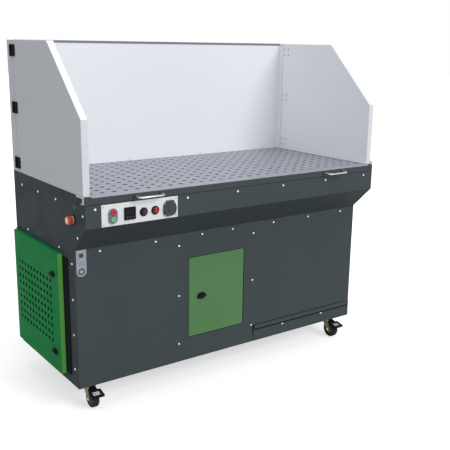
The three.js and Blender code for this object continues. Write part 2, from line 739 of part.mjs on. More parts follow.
// The bezel of the twin push button, with a pocket for each key
function twinBezel() {
  const face = deviceFace - twin.proud;
  const outline = uprightSlot([twinX, twinZ], twin.width / 2, twin.height, coarseSides);
  const rimSolid = extrude("y", outline, [face, deviceFace]);
  const neck = rod("y", [twinX, twinZ], twin.neck, [deviceFace - twin.proud / 4, twin.depth], midSides);
  const pockets = [twinZ - key.spread, twinZ + key.spread].map((z) =>
    clearBore(
      "y",
      [twinX, z],
      key.radius,
      [face - overrun, face - key.proud + key.length + key.travel + restGap],
      midSides,
    ),
  );
  return cut(join(rimSolid, neck), ...pockets);
}

function pushKey(z) {
  const face = deviceFace - twin.proud - key.proud;
  return rod("y", [twinX, z], key.radius, [face, face + key.length], midSides);
}

function panelMeter() {
  const half = meter.face / 2;
  const bodyHalf = meter.body / 2;
  const bezel = box([meterX - half, meterX + half], [deviceFace - meter.proud, deviceFace], [
    meterZ - half,
    meterZ + half,
  ]);
  const body = box([meterX - bodyHalf, meterX + bodyHalf], [deviceFace - meter.proud / 2, meter.depth], [
    meterZ - bodyHalf,
    meterZ + bodyHalf,
  ]);
  return join(bezel, body);
}

// Indicator lamp: a neck through the panel, a bezel ring and a domed lens
function indicatorLamp(place) {
  const lensBase = deviceFace - lamp.bezelProud;
  const lensEdge = deviceFace - (lamp.bezelProud + lamp.lensProud) / 2;
  const profile = [
    [0, deviceFace - lamp.lensProud],
    [lamp.lens / 2, deviceFace - lamp.lensProud],
    [lamp.lens, lensEdge],
    [lamp.lens, lensBase],
    [lamp.bezel, lensBase],
    [lamp.bezel, deviceFace],
    [lamp.neck, deviceFace],
    [lamp.neck, lamp.depth],
    [0, lamp.depth],
  ];
  return turned("y", [onPlate(place), lampZ], profile, midSides);
}

const lidAxis = { y: deviceFace - socket.proud - lid.knuckle, z: socketZ + lid.axisUp };

// Panel socket: a square flange with a round well, and two ears that hold the lid's pin
function socketOutlet() {
  const half = socket.flange / 2;
  const face = deviceFace - socket.proud;
  const flange = box([socketX - half, socketX + half], [face, deviceFace], [socketZ - half, socketZ + half]);
  const centre = [socketX, socketZ];
  const body = rod("y", centre, socket.body, [deviceFace - socket.proud / 2, socket.depth], fineSides);
  const well = rod("y", centre, socket.well, [face - overrun, face + socket.wellDepth], fineSides);
  const ears = [-1, 1].map((side) => {
    const near = socketX + side * (lid.length / 2 + restGap);
    const far = near + side * lid.ear;
    const xs = [Math.min(near, far), Math.max(near, far)];
    return join(
      rod("x", [lidAxis.y, lidAxis.z], lid.knuckle, xs, coarseSides),
      box(xs, [lidAxis.y, deviceFace], [lidAxis.z - lid.knuckle, lidAxis.z + lid.knuckle]),
    );
  });
  const pin = rod(
    "x",
    [lidAxis.y, lidAxis.z],
    lid.pin,
    [socketX - lid.length / 2 - lid.ear, socketX + lid.length / 2 + lid.ear],
    coarseSides,
  );
  return join(cut(join(flange, body), well), ...ears, pin);
}

// The socket's round lid with a strap up to its knuckle
function socketLid() {
  const back = deviceFace - socket.proud - restGap;
  const centre = [socketX, socketZ];
  const pivot = [lidAxis.y, lidAxis.z];
  const bossSpan = [back - lid.plate - lid.boss, back - lid.plate / 2];
  const disc = rod("y", centre, lid.radius, [back - lid.plate, back], fineSides);
  const boss = rod("y", centre, lid.radius / 2, bossSpan, midSides);
  const half = lid.length / 2;
  const strap = box([socketX - half, socketX + half], [back - lid.plate, back], [socketZ, lidAxis.z]);
  const knuckle = rod("x", pivot, lid.knuckle, [socketX - half, socketX + half], coarseSides);
  const boreSpan = [socketX - half - overrun, socketX + half + overrun];
  const bore = clearBore("x", pivot, lid.pin, boreSpan, coarseSides);
  return cut(join(disc, boss, strap, knuckle), bore);
}

// Emergency stop: the collar on the left panel, and the mushroom cap on its plunger
function estopCollar() {
  const profile = [
    [plunger.radius + boreGap, -restGap - estop.collarDepth],
    [estop.collar * capShares.face, -restGap - estop.collarDepth],
    [estop.collar, -restGap - estop.collarDepth * capShares.edge],
    [estop.collar, -restGap],
    [estop.neck, -restGap],
    [estop.neck, estop.depth],
    [plunger.radius + boreGap, estop.depth],
    [plunger.radius + boreGap, -restGap - estop.collarDepth],
  ];
  return turned("x", [estop.y, estopZ], profile, midSides);
}

const capBack = -restGap * 2 - estop.collarDepth - plunger.travel;

function estopButton() {
  const profile = [
    [0, capBack - plunger.capDepth],
    [plunger.cap * capShares.face, capBack - plunger.capDepth],
    [plunger.cap, capBack - plunger.capDepth * capShares.edge],
    [plunger.cap, capBack],
    [plunger.radius, capBack],
    [plunger.radius, capBack + plunger.depth],
    [0, capBack + plunger.depth],
  ];
  return turned("x", [estop.y, estopZ], profile, midSides);
}

// Front door: a folded pan with a pin at the top and bottom of its right edge
function frontDoorPan() {
  const ys = [nose.setback, nose.setback + frontDoor.depth];
  const outside = box([doorLeft, doorRight], ys, [doorBottom, doorTop]);
  const hollow = box(
    [doorLeft + cabinet.sheet, doorRight - cabinet.sheet],
    [ys[0] + cabinet.sheet, ys[1] + overrun],
    [doorBottom + cabinet.sheet, doorTop - cabinet.sheet],
  );
  const reach = frontDoor.gap + jamb.plate + frontPin.stand;
  const pins = [
    [doorBottom - reach, doorBottom + cabinet.sheet],
    [doorTop - cabinet.sheet, doorTop + reach],
  ].map((zs) => rod("z", [frontPinX, frontPinY], frontPin.radius, zs, coarseSides));
  const [x, z] = frontLatchAt;
  const shaftHole = clearBore("y", [x, z], latch.shaft, [ys[0] - overrun, ys[0] + overrun], midSides);
  return cut(join(cut(outside, hollow), ...pins), shaftHole);
}

const frontLatchAt = [doorLeft + latch.fromEdge, (doorTop + doorBottom) / 2];

// The outline of a knob: an oval that lies sideways
function knobOutline([u, v]) {
  const half = latch.knobHalf;
  const waist = latch.knobWaist;
  return [
    [u - half, v - waist / 2],
    [u - half / 2, v - waist],
    [u + half / 2, v - waist],
    [u + half, v - waist / 2],
    [u + half, v + waist / 2],
    [u + half / 2, v + waist],
    [u - half / 2, v + waist],
    [u - half, v + waist / 2],
  ];
}

// Quarter-turn latch of the front door: knob, shaft and a cam that hangs down when open
function frontLatch() {
  const [x, z] = frontLatchAt;
  const knobBack = nose.setback - restGap;
  const camFront = nose.setback + jamb.depth + slideGap / 2;
  const camReach = x - doorOpening.xs[0] + jamb.plate + cam.overlap;
  const knob = extrude("y", knobOutline([x, z]), [knobBack - latch.knobProud, knobBack]);
  const shaftSpan = [knobBack - latch.knobProud / 2, camFront + cam.plate];
  const shaft = rod("y", [x, z], latch.shaft, shaftSpan, midSides);
  const arm = box([x - cam.width / 2, x + cam.width / 2], [camFront, camFront + cam.plate], [
    z - camReach,
    z + cam.heel,
  ]);
  return join(knob, shaft, arm);
}

const sideLatchY = sideDoor.front + sideLatch.fromFront;
const sideLatchZ = {
  upper: sideDoorTop - sideLatch.upper,
  lower: sideDoorBottom + sideLatch.lower,
};

// Side door: a deep pan over the opening, with vent slots and two hinge pins
function sideDoorPan() {
  const xs = [-sideDoor.proud, -sideFit.clear];
  const outside = box(xs, [sideDoor.front, sideDoorRear], [sideDoorBottom, sideDoorTop]);
  const hollow = box(
    [xs[0] + cabinet.sheet, xs[1] + overrun],
    [sideDoor.front + cabinet.sheet, sideDoorRear - cabinet.sheet],
    [sideDoorBottom + cabinet.sheet, sideDoorTop - cabinet.sheet],
  );
  const relief = box(
    [-sideFit.hingeClear, overrun],
    [sideDoorRear - sidePin.lugHalf * 2, sideDoorRear + overrun],
    [sideDoorBottom - overrun, sideDoorTop + overrun],
  );
  const field = [
    sideDoorRear - vent.rear - sideDoor.front - vent.front,
    sideDoorTop - vent.top - sideDoorBottom - vent.foot,
  ];
  const pitch = [field[0] / vent.columns, field[1] / vent.rows];
  const slots = [];
  for (let i = 0; i < vent.columns; i++) {
    for (let j = 0; j < vent.rows; j++) {
      const y = sideDoor.front + vent.front + (i + 0.5) * pitch[0];
      const z = sideDoorTop - vent.top - (j + 0.5) * pitch[1];
      slots.push(
        box([xs[0] - overrun, xs[0] + overrun], [y - ventSlot.width / 2, y + ventSlot.width / 2], [
          z - ventSlot.height / 2,
          z + ventSlot.height / 2,
        ]),
      );
    }
  }
  const reach = sidePin.stand * 2 + sidePin.lug;
  const pins = [
    [sideDoorBottom - reach, sideDoorBottom + cabinet.sheet],
    [sideDoorTop - cabinet.sheet, sideDoorTop + reach],
  ].map((zs) => rod("z", [-sidePin.out, sidePinY], sidePin.radius, zs, coarseSides));
  const shaftHoles = Object.values(sideLatchZ).map((z) =>
    clearBore("x", [sideLatchY, z], latch.shaft, [xs[0] - overrun, xs[0] + overrun], midSides),
  );
  return cut(join(cut(outside, hollow, relief), ...pins), wasm.Manifold.union(slots), ...shaftHoles);
}

// A quarter-turn latch of the side door. When open, its cam points along the door.
function sideDoorLatch(z, direction) {
  const knobBack = -sideDoor.proud - restGap;
  const camStart = cabinet.sheet + slideGap / 2;
  const camReach = sideLatchY - sideOpening.ys[0] + cam.overlap + cam.heel / 2;
  const ends = [z - direction * cam.heel, z + direction * camReach];
  const knob = extrude("x", knobOutline([sideLatchY, z]), [knobBack - latch.knobProud, knobBack]);
  const shaft = rod(
    "x",
    [sideLatchY, z],
    latch.shaft,
    [knobBack - latch.knobProud / 2, camStart + cam.plate],
    midSides,
  );
  const arm = box(
    [camStart, camStart + cam.plate],
    [sideLatchY - cam.width / 2, sideLatchY + cam.width / 2],
    [Math.min(...ends), Math.max(...ends)],
  );
  return join(knob, shaft, arm);
}

// Dust drawer: a tray on the base pan's floor behind a front strip with a pull lip
function dustDrawer() {
  const frontBack = nose.setback - restGap * 2;
  const ys = [frontBack - cabinet.sheet / 2, inner.rear - drawerPan.rearGap];
  const pan = box(drawerXs, ys, drawerZs);
  const hollow = box(
    [drawerXs[0] + drawer.plate, drawerXs[1] - drawer.plate],
    [inner.front, ys[1] - drawer.plate],
    [drawerZs[0] + drawer.plate, drawerZs[1] + overrun],
  );
  const bottom = cabinet.floorGap + restGap;
  const stripTop = bottom + drawer.frontHeight;
  const strip = box([drawerLeft, cabinet.width - restGap], [nose.setback - drawer.proud, frontBack], [
    bottom,
    stripTop,
  ]);
  const lip = box(
    [drawerLeft, cabinet.width - drawer.lipEnd],
    [nose.setback - drawer.lipProud, frontBack],
    [stripTop - drawer.lip, stripTop],
  );
  const fingerGroove = box(
    [drawerLeft - overrun, cabinet.width + overrun],
    [nose.setback - drawer.lipProud + drawer.plate, nose.setback - drawer.proud],
    [stripTop - drawer.lip - overrun, stripTop - drawer.plate],
  );
  return join(cut(pan, hollow), strip, cut(lip, fingerGroove));
}

const hopperTop = runnerBottom - restGap;
const hopperXs = [
  inner.left + cabinet.sheet + hopper.side / 2,
  inner.right - cabinet.sheet - hopper.side / 2,
];
const hopperFloor = [
  [hopperXs[0], hopperTop - hopper.endDrop],
  [filterWall.x, hopperTop - hopper.floorDrop],
];
const hopperUnder = (x) => {
  const [[x0, z0], [x1, z1]] = hopperFloor;
  return z0 + ((z1 - z0) * (x - x0)) / (x1 - x0);
};

// Hopper: an open trough under the tray, its floor falling to the right, where it is
// open to the filter chamber
function plenumHopper() {
  const ys = [inner.front + hopper.front, inner.rear - hopper.rear];
  const [start, end] = hopperFloor;
  const floor = bentSheet("y", [[hopperXs[0], hopperTop], start, end], hopper.plate, ys);
  const sideWall = [
    [hopperXs[0], hopperTop],
    start,
    end,
    [hopperXs[1], end[1]],
    [hopperXs[1], hopperTop],
  ];
  const walls = [
    extrude("y", sideWall, [ys[0], ys[0] + hopper.plate]),
    extrude("y", sideWall, [ys[1] - hopper.plate, ys[1]]),
  ];
  const farEnd = box([hopperXs[1] - hopper.plate, hopperXs[1]], ys, [end[1], hopperTop]);
  return join(floor, ...walls, farEnd);
}

const cartridgeRadius = innerDepth / 4 - cartridge.clear;
const cartridgeBore = cartridgeRadius - cartridge.paper;
const cartridgeYs = {
  front: inner.front + innerDepth / 4,
  rear: inner.rear - innerDepth / 4,
};
const cartridgeZ = drawerZs[1] + cartridge.aboveDrawer + cartridgeRadius;

// Filter wall: the sheet that the cartridges hang on, between the filter chamber and
// the clean side
function filterPartition() {
  const sheet = box(
    [filterWall.x, filterWall.x + filterWall.plate],
    [inner.front + base.plate + restGap, inner.rear - base.plate - restGap],
    [baseFloor + restGap, hopperUnder(filterWall.x) - restGap],
  );
  const holes = Object.values(cartridgeYs).map((y) =>
    rod(
      "x",
      [y, cartridgeZ],
      cartridgeBore - cartridge.lip,
      [filterWall.x - overrun, filterWall.x + filterWall.plate + overrun],
      midSides,
    ),
  );
  return cut(sheet, ...holes);
}

// A filter cartridge: a thick paper tube, open at the filter wall and capped at its end
function filterCartridge(y) {
  const start = filterWall.x + filterWall.plate + restGap;
  const end = inner.right - cartridge.endGap;
  const flange = cartridgeRadius - cartridge.step;
  const profile = [
    [cartridgeBore, start],
    [cartridgeRadius, start],
    [cartridgeRadius, start + cartridge.cap],
    [flange, start + cartridge.cap],
    [flange, end - cartridge.cap],
    [cartridgeRadius, end - cartridge.cap],
    [cartridgeRadius, end],
    [0, end],
    [0, end - cartridge.cap],
    [cartridgeBore, end - cartridge.cap],
    [cartridgeBore, start],
  ];
  return turned("x", [y, cartridgeZ], profile, midSides);
}

const fanAt = [inner.front + fan.y, baseFloor + fan.rise];

// Outline of the fan's scroll, seen from the left. The radius grows through three
// quarters of a turn, and the mouth opens upwards.
function scrollOutline(inset, extra) {
  const [y, z] = fanAt;
  const points = [];
  for (let i = 0; i <= scroll.steps; i++) {
    const share = i / scroll.steps;
    const radius = scroll.inner + (scroll.outer - scroll.inner) * share - inset;
    const angle = Math.PI / 2 - share * scrollTurnShare * 2 * Math.PI;
    points.push([y + radius * Math.cos(angle), z + radius * Math.sin(angle)]);
  }
  points.push([y - scroll.outer + inset, z + scroll.mouth + extra]);
  points.push([y - scroll.tongue - inset, z + scroll.mouth + extra]);
  points.push([y - scroll.tongue - inset, z + scroll.inner - inset]);
  return points.reverse();
}

// Fan housing: the scroll welded to the bulkhead that closes off the fan's bay
function fanHousing() {
  const left = fan.x - scroll.width;
  const shell = extrude("x", scrollOutline(0, 0), [left, fan.x]);
  const hollowSpan = [left + scroll.plate, fan.x - scroll.plate];
  const hollow = extrude("x", scrollOutline(scroll.plate, overrun), hollowSpan);
  const bulkhead = box(
    [fan.x - scroll.plate, fan.x],
    [inner.front + base.plate + restGap, inner.rear - base.plate - restGap],
    [baseFloor + restGap, hopperUnder(fan.x) - restGap * 2],
  );
  const inlet = rod("x", fanAt, fan.inlet, [fan.x - scroll.plate - overrun, fan.x + overrun], fineSides);
  const shaftSpan = [left - overrun, left + scroll.plate + overrun];
  const shaftHole = clearBore("x", fanAt, motorShaft.radius, shaftSpan, midSides);
  return cut(join(cut(shell, hollow), bulkhead), inlet, shaftHole);
}

const motorFace = fan.x - scroll.width - restGap;

// Fan motor: flange on the scroll, body, cowl, terminal box and shaft
function fanMotor() {
  const bodyEnd = motorFace - motor.flangePlate - motor.length;
  const [y, z] = fanAt;
  const profile = [
    [0, bodyEnd - motor.cowlLength],
    [motor.cowl, bodyEnd - motor.cowlLength],
    [motor.cowl, bodyEnd],
    [motor.body, bodyEnd],
    [motor.body, motorFace - motor.flangePlate],
    [motor.flange, motorFace - motor.flangePlate],
    [motor.flange, motorFace],
    [motorShaft.radius, motorFace],
    [motorShaft.radius, motorFace + motorShaft.reach],
    [0, motorFace + motorShaft.reach],
  ];
  const boxEnd = motorFace - motor.flangePlate - terminal.inset;
  const terminalBox = box(
    [boxEnd - terminal.length, boxEnd],
    [y - terminal.halfWidth, y + terminal.halfWidth],
    [z, z + terminal.top],
  );
  return join(turned("x", fanAt, profile, fineSides), terminalBox);
}

// Impeller: back plate, hub, leaning blades and a front ring
function fanImpeller() {
  const back = fan.x - scroll.width + scroll.plate + impeller.set;
  const bladeStart = back + impeller.plate;
  const front = bladeStart + impeller.width;
  const plate = rod("x", fanAt, impeller.radius, [back, bladeStart], fineSides);
  const hubRod = rod("x", fanAt, hub.radius, [back, back + hub.length], midSides);
  const ring = cut(
    rod("x", fanAt, impeller.radius, [front - impeller.plate, front], fineSides),
    rod("x", fanAt, impeller.root, [front - impeller.plate - overrun, front + overrun], fineSides),
  );
  const [y, z] = fanAt;
  const blades = Array.from({ length: blade.count }, (_, i) => {
    const angle = (i * 2 * Math.PI) / blade.count;
    const lean = angle + bladeLeanShare;
    const root = [y + impeller.root * Math.cos(angle), z + impeller.root * Math.sin(angle)];
    const tipRadius = impeller.radius - blade.plate;
    const tip = [y + tipRadius * Math.cos(lean), z + tipRadius * Math.sin(lean)];
    return bentSheet("x", [root, tip], blade.plate, [
      bladeStart - impeller.plate / 2,
      front - impeller.plate / 2,
    ]);
  });
  const boreSpan = [back - overrun, back + hub.length + overrun];
  const bore = clearBore("x", fanAt, motorShaft.radius, boreSpan, midSides);
  return cut(join(plate, hubRod, ring, ...blades), bore);
}

// Electrical box behind the control plate: an open box with a rail of modules
function electricalBox() {
  const back = inner.front + hopper.front - restGap;
  const front = back - electrics.depth;
  const left = controlPlate.left - electrics.overlap;
  const xs = [left, left + electrics.width];
  const top = topZ - electrics.top;
  const zs = [top - electrics.height, top];
  const shell = cut(
    box(xs, [front, back], zs),
    box(
      [xs[0] + electrics.wall, xs[1] - electrics.wall],
      [front - overrun, back - electrics.wall],
      [zs[0] + electrics.wall, zs[1] - electrics.wall],
    ),
  );
  const middle = (zs[0] + zs[1]) / 2;
  const rail = box(
    [xs[0] + electrics.wall / 2, xs[1] - electrics.wall / 2],
    [back - electrics.wall - electrics.rail, back - electrics.wall / 2],
    [middle - electrics.rail * 2, middle + electrics.rail * 2],
  );
  const blocks = Array.from({ length: electricBlocks.count }, (_, i) => {
    const x = (xs[0] + xs[1]) / 2 + (i - (electricBlocks.count - 1) / 2) * electricBlocks.pitch;
    return box(
      [x - electricBlocks.width / 2, x + electricBlocks.width / 2],
      [back - electrics.wall - electricBlocks.depth, back - electrics.wall - electrics.rail / 2],
      [middle - electricBlocks.height / 2, middle + electricBlocks.height / 2],
    );
  });
  return join(shell, rail, ...blocks);
}

// Cable gland: a nut inside the rear panel, its neck, and the flange and dome outside
function cableGland() {
  const inside = cabinet.depth - cabinet.sheet - restGap;
  const outside = cabinet.depth + restGap;
  const profile = [
    [0, inside - glandEnds.nutDepth],
    [glandEnds.nut, inside - glandEnds.nutDepth],
    [glandEnds.nut, inside],
    [gland.neck, inside],
    [gland.neck, outside],
    [gland.flange, outside],
    [gland.flange, outside + gland.flangeDepth],
    [glandEnds.dome, outside + gland.flangeDepth],
    [glandEnds.dome * capShares.face, outside + glandEnds.reach],
    [0, outside + glandEnds.reach],
  ];
  return turned("y", [gland.x, glandZ], profile, coarseSides);
}

// Casters are drawn round their swivel axis, with the wheel towards -y
const plateTop = cabinet.floorGap - restGap;
const headBottom = plateTop - caster.plate - swivelHead.height;
const crownTop = headBottom - fork.headGap;
const crownBottom = crownTop - fork.plate;
const axleAt = [-fork.trail, toFlat(wheel.radius, fineSides)];
const legIn = wheel.width / 2 + fork.gap;
const legOut = legIn + fork.plate;

function casterPlate() {
  const plate = box([-caster.plateX, caster.plateX], [-caster.plateY, caster.plateY], [
    plateTop - caster.plate,
    plateTop,
  ]);
  const head = rod("z", [0, 0], swivelHead.radius, [headBottom, plateTop - caster.plate / 2], midSides);
  return join(plate, head);
}

// Fork: crown, two legs to the axle, and on a braked caster the pedal's pin
function casterFork(braked) {
  const [axleY, axleZ] = axleAt;
  const crown = box([-legOut, legOut], [-fork.crownY, fork.crownY], [crownBottom, crownTop]);
  const leg = [
    [fork.crownY, crownTop],
    [-fork.crownY, crownTop],
    [axleY - fork.eye, axleZ],
    [axleY - fork.eye / 2, axleZ - fork.eye],
    [axleY + fork.eye / 2, axleZ - fork.eye],
    [axleY + fork.eye, axleZ],
  ];
  const legs = [
    extrude("x", leg, [-legOut, -legIn]),
    extrude("x", leg, [legIn, legOut]),
  ];
  const axle = rod("x", axleAt, fork.axle, [-legOut - fork.axleHead, legOut + fork.axleHead], coarseSides);
  const pieces = [crown, ...legs, axle];
  if (braked) pieces.push(rod("x", pedalAt, pedalPivot.pin, [-legOut, legOut], coarseSides));
  return join(...pieces);
}

// Wheel: a tyre with rounded shoulders and a dished hub, turned round the axle
function casterWheel() {
  const half = wheel.width / 2;
  const wheelBore = (fork.axle + boreGap) / Math.cos(Math.PI / fineSides);
  const dished = half - wheel.dish;
  const profile = [
    [wheelBore, -half],
    [wheel.hub, -half],
    [wheel.hub + wheel.dish, -dished],
    [wheel.radius - wheel.dish * 2, -dished],
    [wheel.radius - wheel.shoulder, -half],
    [wheel.radius, -half + wheel.shoulder],
    [wheel.radius, half - wheel.shoulder],
    [wheel.radius - wheel.shoulder, half],
    [wheel.radius - wheel.dish * 2, dished],
    [wheel.hub + wheel.dish, dished],
    [wheel.hub, half],
    [wheelBore, half],
    [wheelBore, -half],
  ];
  return turned("x", axleAt, profile, fineSides);
}

const pedalAt = [-pedalPivot.y, crownBottom - pedalPivot.drop];

// Brake pedal: a narrow arm between the fork's legs and a wide frame in front of them
function brakePedal() {
  const [pivotY, pivotZ] = pedalAt;
  const slope = pedal.fall / (pedal.reach + pivotY);
  const under = (y) => pivotZ - slope * (pivotY - y) - pedal.plate / 2;
  const slab = (near, far) => [
    [near, under(near)],
    [near, under(near) + pedal.plate],
    [far, under(far) + pedal.plate],
    [far, under(far)],
  ];
  const arm = extrude("x", slab(pivotY, -pedal.padStart - pedal.plate), [-pedal.arm, pedal.arm]);
  const pad = extrude("x", slab(-pedal.padStart, -pedal.reach), [-pedal.pad, pedal.pad]);
  const boss = rod("x", pedalAt, pedalPivot.boss, [-pedal.arm, pedal.arm], coarseSides);
  const boreSpan = [-pedal.arm - overrun, pedal.arm + overrun];
  const bore = clearBore("x", pedalAt, pedalPivot.pin, boreSpan, coarseSides);
  const window = box(
    [-pedalWindow.half, pedalWindow.half],
    [-pedal.reach + pedalWindow.front, -pedal.padStart - pedalWindow.rear],
    [0, plateTop],
  );
  return cut(join(arm, pad, boss), bore, window);
}

// Cabinet
add("base_pan", basePan(), anthracite);
add("left_side_panel", leftPanel(), anthracite);
add("right_side_panel", rightPanel(), anthracite);
add("rear_panel", rearPanel(), anthracite);
add("lower_front_panel", frontPanel(), anthracite);
add("control_fascia", controlFascia(), anthracite);
add("cable_gland", cableGland(), blackPlastic);

// Worktop and spark tray
add("worktop_rim", worktopRim(), anthracite);
add("perforated_worktop", perforatedPlate(), galvanised);
add("spark_tray", sparkTray(), anthracite);
add("left_tray_handle", trayHandle(handle.fromEnd), steel);
add("right_tray_handle", trayHandle(cabinet.width - handle.fromEnd), steel);

// Walls
add("back_wall", backWall(), wallWhite);
const wingSolid = wingPanel();
add("left_wing", wingSolid, wallWhite);
add("right_wing", mirrored(wingSolid), wallWhite);
for (const [place, height] of Object.entries(hingeHeights)) {
  const half = postLeaf(height);
  add(`left_wing_hinge_${place}`, half, blackPlastic);
  add(`right_wing_hinge_${place}`, mirrored(half), blackPlastic);
}

// Controls
add("control_plate", controlPlateSheet(), plateWhite);
add("twin_button_bezel", twinBezel(), greyPlastic);
add("stop_button", pushKey(twinZ + key.spread), redPlastic);
add("start_button", pushKey(twinZ - key.spread), greenPlastic);
add("panel_meter", panelMeter(), blackPlastic);
add("running_lamp", indicatorLamp(lampPlaces.running), darkRed);
add("fault_lamp", indicatorLamp(lampPlaces.fault), redPlastic);
add("socket_outlet", socketOutlet(), blackPlastic);
add("socket_lid", socketLid(), blackPlastic);
add("estop_collar", estopCollar(), yellowPlastic);
add("estop_button", estopButton(), redPlastic);

// Doors, latches and drawer
add("front_door", frontDoorPan(), doorGreen);
add("front_door_latch", frontLatch(), blackPlastic);
add("side_door", sideDoorPan(), sideGreen);
add("side_door_upper_latch", sideDoorLatch(sideLatchZ.upper, -1), blackPlastic);
add("side_door_lower_latch", sideDoorLatch(sideLatchZ.lower, 1), blackPlastic);
add("dust_drawer", dustDrawer(), anthracite);

// Air path
add("plenum_hopper", plenumHopper(), galvanised);
add("filter_partition", filterPartition(), galvanised);
for (const [place, y] of Object.entries(cartridgeYs)) {
  add(`filter_cartridge_${place}`, filterCartridge(y), filterPaper);
}
add("fan_housing", fanHousing(), castGrey);
add("fan_motor", fanMotor(), castGrey);
add("fan_impeller", fanImpeller(), steel);
add("electrical_box", electricalBox(), greyPlastic);

// Casters, each placed as one group
const casterPlaces = {
  front_left: [caster.insetX, nose.setback + caster.insetY, true],
  front_right: [cabinet.width - caster.insetX, nose.setback + caster.insetY, true],
  rear_left: [caster.rearInsetX, cabinet.depth - caster.insetY, false],
  rear_right: [cabinet.width - caster.rearInsetX, cabinet.depth - caster.insetY, false],
};
for (const [place, [x, y, braked]] of Object.entries(casterPlaces)) {
  const spot = new THREE.Group();
  spot.position.set(x, y, 0);
  table.add(spot);
  add(`${place}_caster_plate`, casterPlate(), zinc, spot);
  add(`${place}_caster_fork`, casterFork(braked), zinc, spot);
  add(`${place}_wheel`, casterWheel(), rubber, spot);
  if (braked) add(`${place}_brake_pedal`, brakePedal(), blackPlastic, spot);
}

// The origin is on the floor under the middle of everything that stands out
const reach = {
  left: Math.max(sideDoor.proud + restGap + latch.knobProud, -capBack + plunger.capDepth),
  right: cabinet.width + leafAxis.out + toFlat(leaf.knuckle, coarseSides),
  front: handle.reach - handle.wire + toFlat(handle.wire, coarseSides),
  rear: cabinet.depth + restGap + glandEnds.reach,
};
table.position.set(-(reach.right - reach.left) / 2, -(reach.rear - reach.front) / 2, 0);

export default table;
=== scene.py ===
"""The looks of a downdraft table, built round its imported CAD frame.

Pieces are drawn in millimetres from the cabinet's own corner: x from its left face, y from its front face
towards the back wall, z from the floor. Shape.piece() turns them into metres of the frame.
"""

import math
from types import SimpleNamespace as Sizes

import bmesh
import bpy
from mathutils import Matrix, Vector

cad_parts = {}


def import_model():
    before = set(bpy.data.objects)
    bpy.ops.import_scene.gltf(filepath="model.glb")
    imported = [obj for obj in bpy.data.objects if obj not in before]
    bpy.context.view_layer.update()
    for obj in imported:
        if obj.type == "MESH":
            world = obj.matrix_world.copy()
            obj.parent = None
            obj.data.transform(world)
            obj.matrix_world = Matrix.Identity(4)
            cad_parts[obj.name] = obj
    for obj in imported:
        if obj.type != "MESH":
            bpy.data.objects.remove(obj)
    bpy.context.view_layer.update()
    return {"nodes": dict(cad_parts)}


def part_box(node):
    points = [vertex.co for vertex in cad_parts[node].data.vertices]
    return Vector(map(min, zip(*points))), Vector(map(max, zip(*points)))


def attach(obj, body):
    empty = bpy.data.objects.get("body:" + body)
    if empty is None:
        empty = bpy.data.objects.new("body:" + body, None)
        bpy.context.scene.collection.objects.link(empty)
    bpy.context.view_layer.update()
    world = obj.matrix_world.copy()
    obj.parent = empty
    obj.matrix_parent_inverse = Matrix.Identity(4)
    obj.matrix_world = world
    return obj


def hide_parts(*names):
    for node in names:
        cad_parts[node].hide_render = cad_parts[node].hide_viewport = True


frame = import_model()

MM = 0.001
TURN = 2 * math.pi
ORIGIN = Vector((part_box("back_wall")[0].x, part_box("control_fascia")[0].y, 0))


def spans(node):
    """A CAD node's extent on x, y and z, in the cabinet's own millimetres."""
    low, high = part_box(node)
    return [((a - o) / MM, (b - o) / MM) for a, b, o in zip(low, high, ORIGIN)]


def middle(span):
    return (span[0] + span[1]) / 2


def middles(*many):
    return tuple(middle(span) for span in many)


def about(centre, half):
    return centre - half, centre + half


def grown(span, by):
    return span[0] - by, span[1] + by


def steps_between(low, high, count):
    return [low + (high - low) * i / count for i in range(count + 1)]


def steps_of(span, pitch):
    return steps_between(*span, int((span[1] - span[0]) / pitch))


def four_corners(us, vs, inset):
    return [(u, v) for u in grown(us, -inset) for v in grown(vs, -inset)]


WIDTH = spans("back_wall")[0][1]
DEPTH = spans("rear_panel")[1][1]
TOP = spans("perforated_worktop")[2][1]
SETBACK = spans("front_door")[1][0]
SEAT = 0.3
PANEL = spans("control_plate")
DEVICE = PANEL[1][0] - SEAT
WING = Sizes(thickness=spans("left_wing")[0][1], hook_lead=10, slope_start=281, slope_end=294, rear=654.5)
CABINET = "cabinet"
SIDES = ("left", "right")
CORNERS = ("front_left", "front_right", "rear_left", "rear_right")

# Outlines


def polar(centre, radius, turn):
    return centre[0] + radius * math.cos(turn), centre[1] + radius * math.sin(turn)


def arc(centre, radius, start, end, steps):
    return [polar(centre, radius, turn) for turn in steps_between(start, end, steps)]


def star(centre, radii, start=0.0):
    """A closed outline with a point for each radius, at even turns."""
    return [polar(centre, radius, start + TURN * i / len(radii)) for i, radius in enumerate(radii)]


def circle(centre, radius, sides, start=0.0):
    return star(centre, [radius] * sides, start)


def oval(centre, half, squareness, sides=40):
    """A closed curve that goes from an ellipse at 1 towards a rectangle as squareness falls."""
    points = []
    for point in circle((0, 0), 1, sides):
        reach = [size * math.copysign(abs(c) ** squareness, c) for size, c in zip(half, point)]
        points.append((centre[0] + reach[0], centre[1] + reach[1]))
    return points


def rounded(us, vs, radius, steps=4):
    """A rectangle with round corners."""
    points = []
    for i, j, quarter in ((1, 0, 3), (1, 1, 0), (0, 1, 1), (0, 0, 2)):
        centre = (us[i] + radius * (1 - 2 * i), vs[j] + radius * (1 - 2 * j))
        points += arc(centre, radius, TURN * quarter / 4, TURN * (quarter + 1) / 4, steps)
    return points


def tile(centre, half, radius, steps=4):
    return rounded(about(centre[0], half[0]), about(centre[1], half[1]), radius, steps)


def stadium(centre, half, steps=10):
    return tile(centre, half, half[0] - 0.01, steps)


def spot(axis, a, b, along):
    """A point whose axis coordinate is along; a and b are the other two in the order x, y, z."""
    return Vector({"x": (along, a, b), "y": (a, along, b), "z": (a, b, along)}[axis])


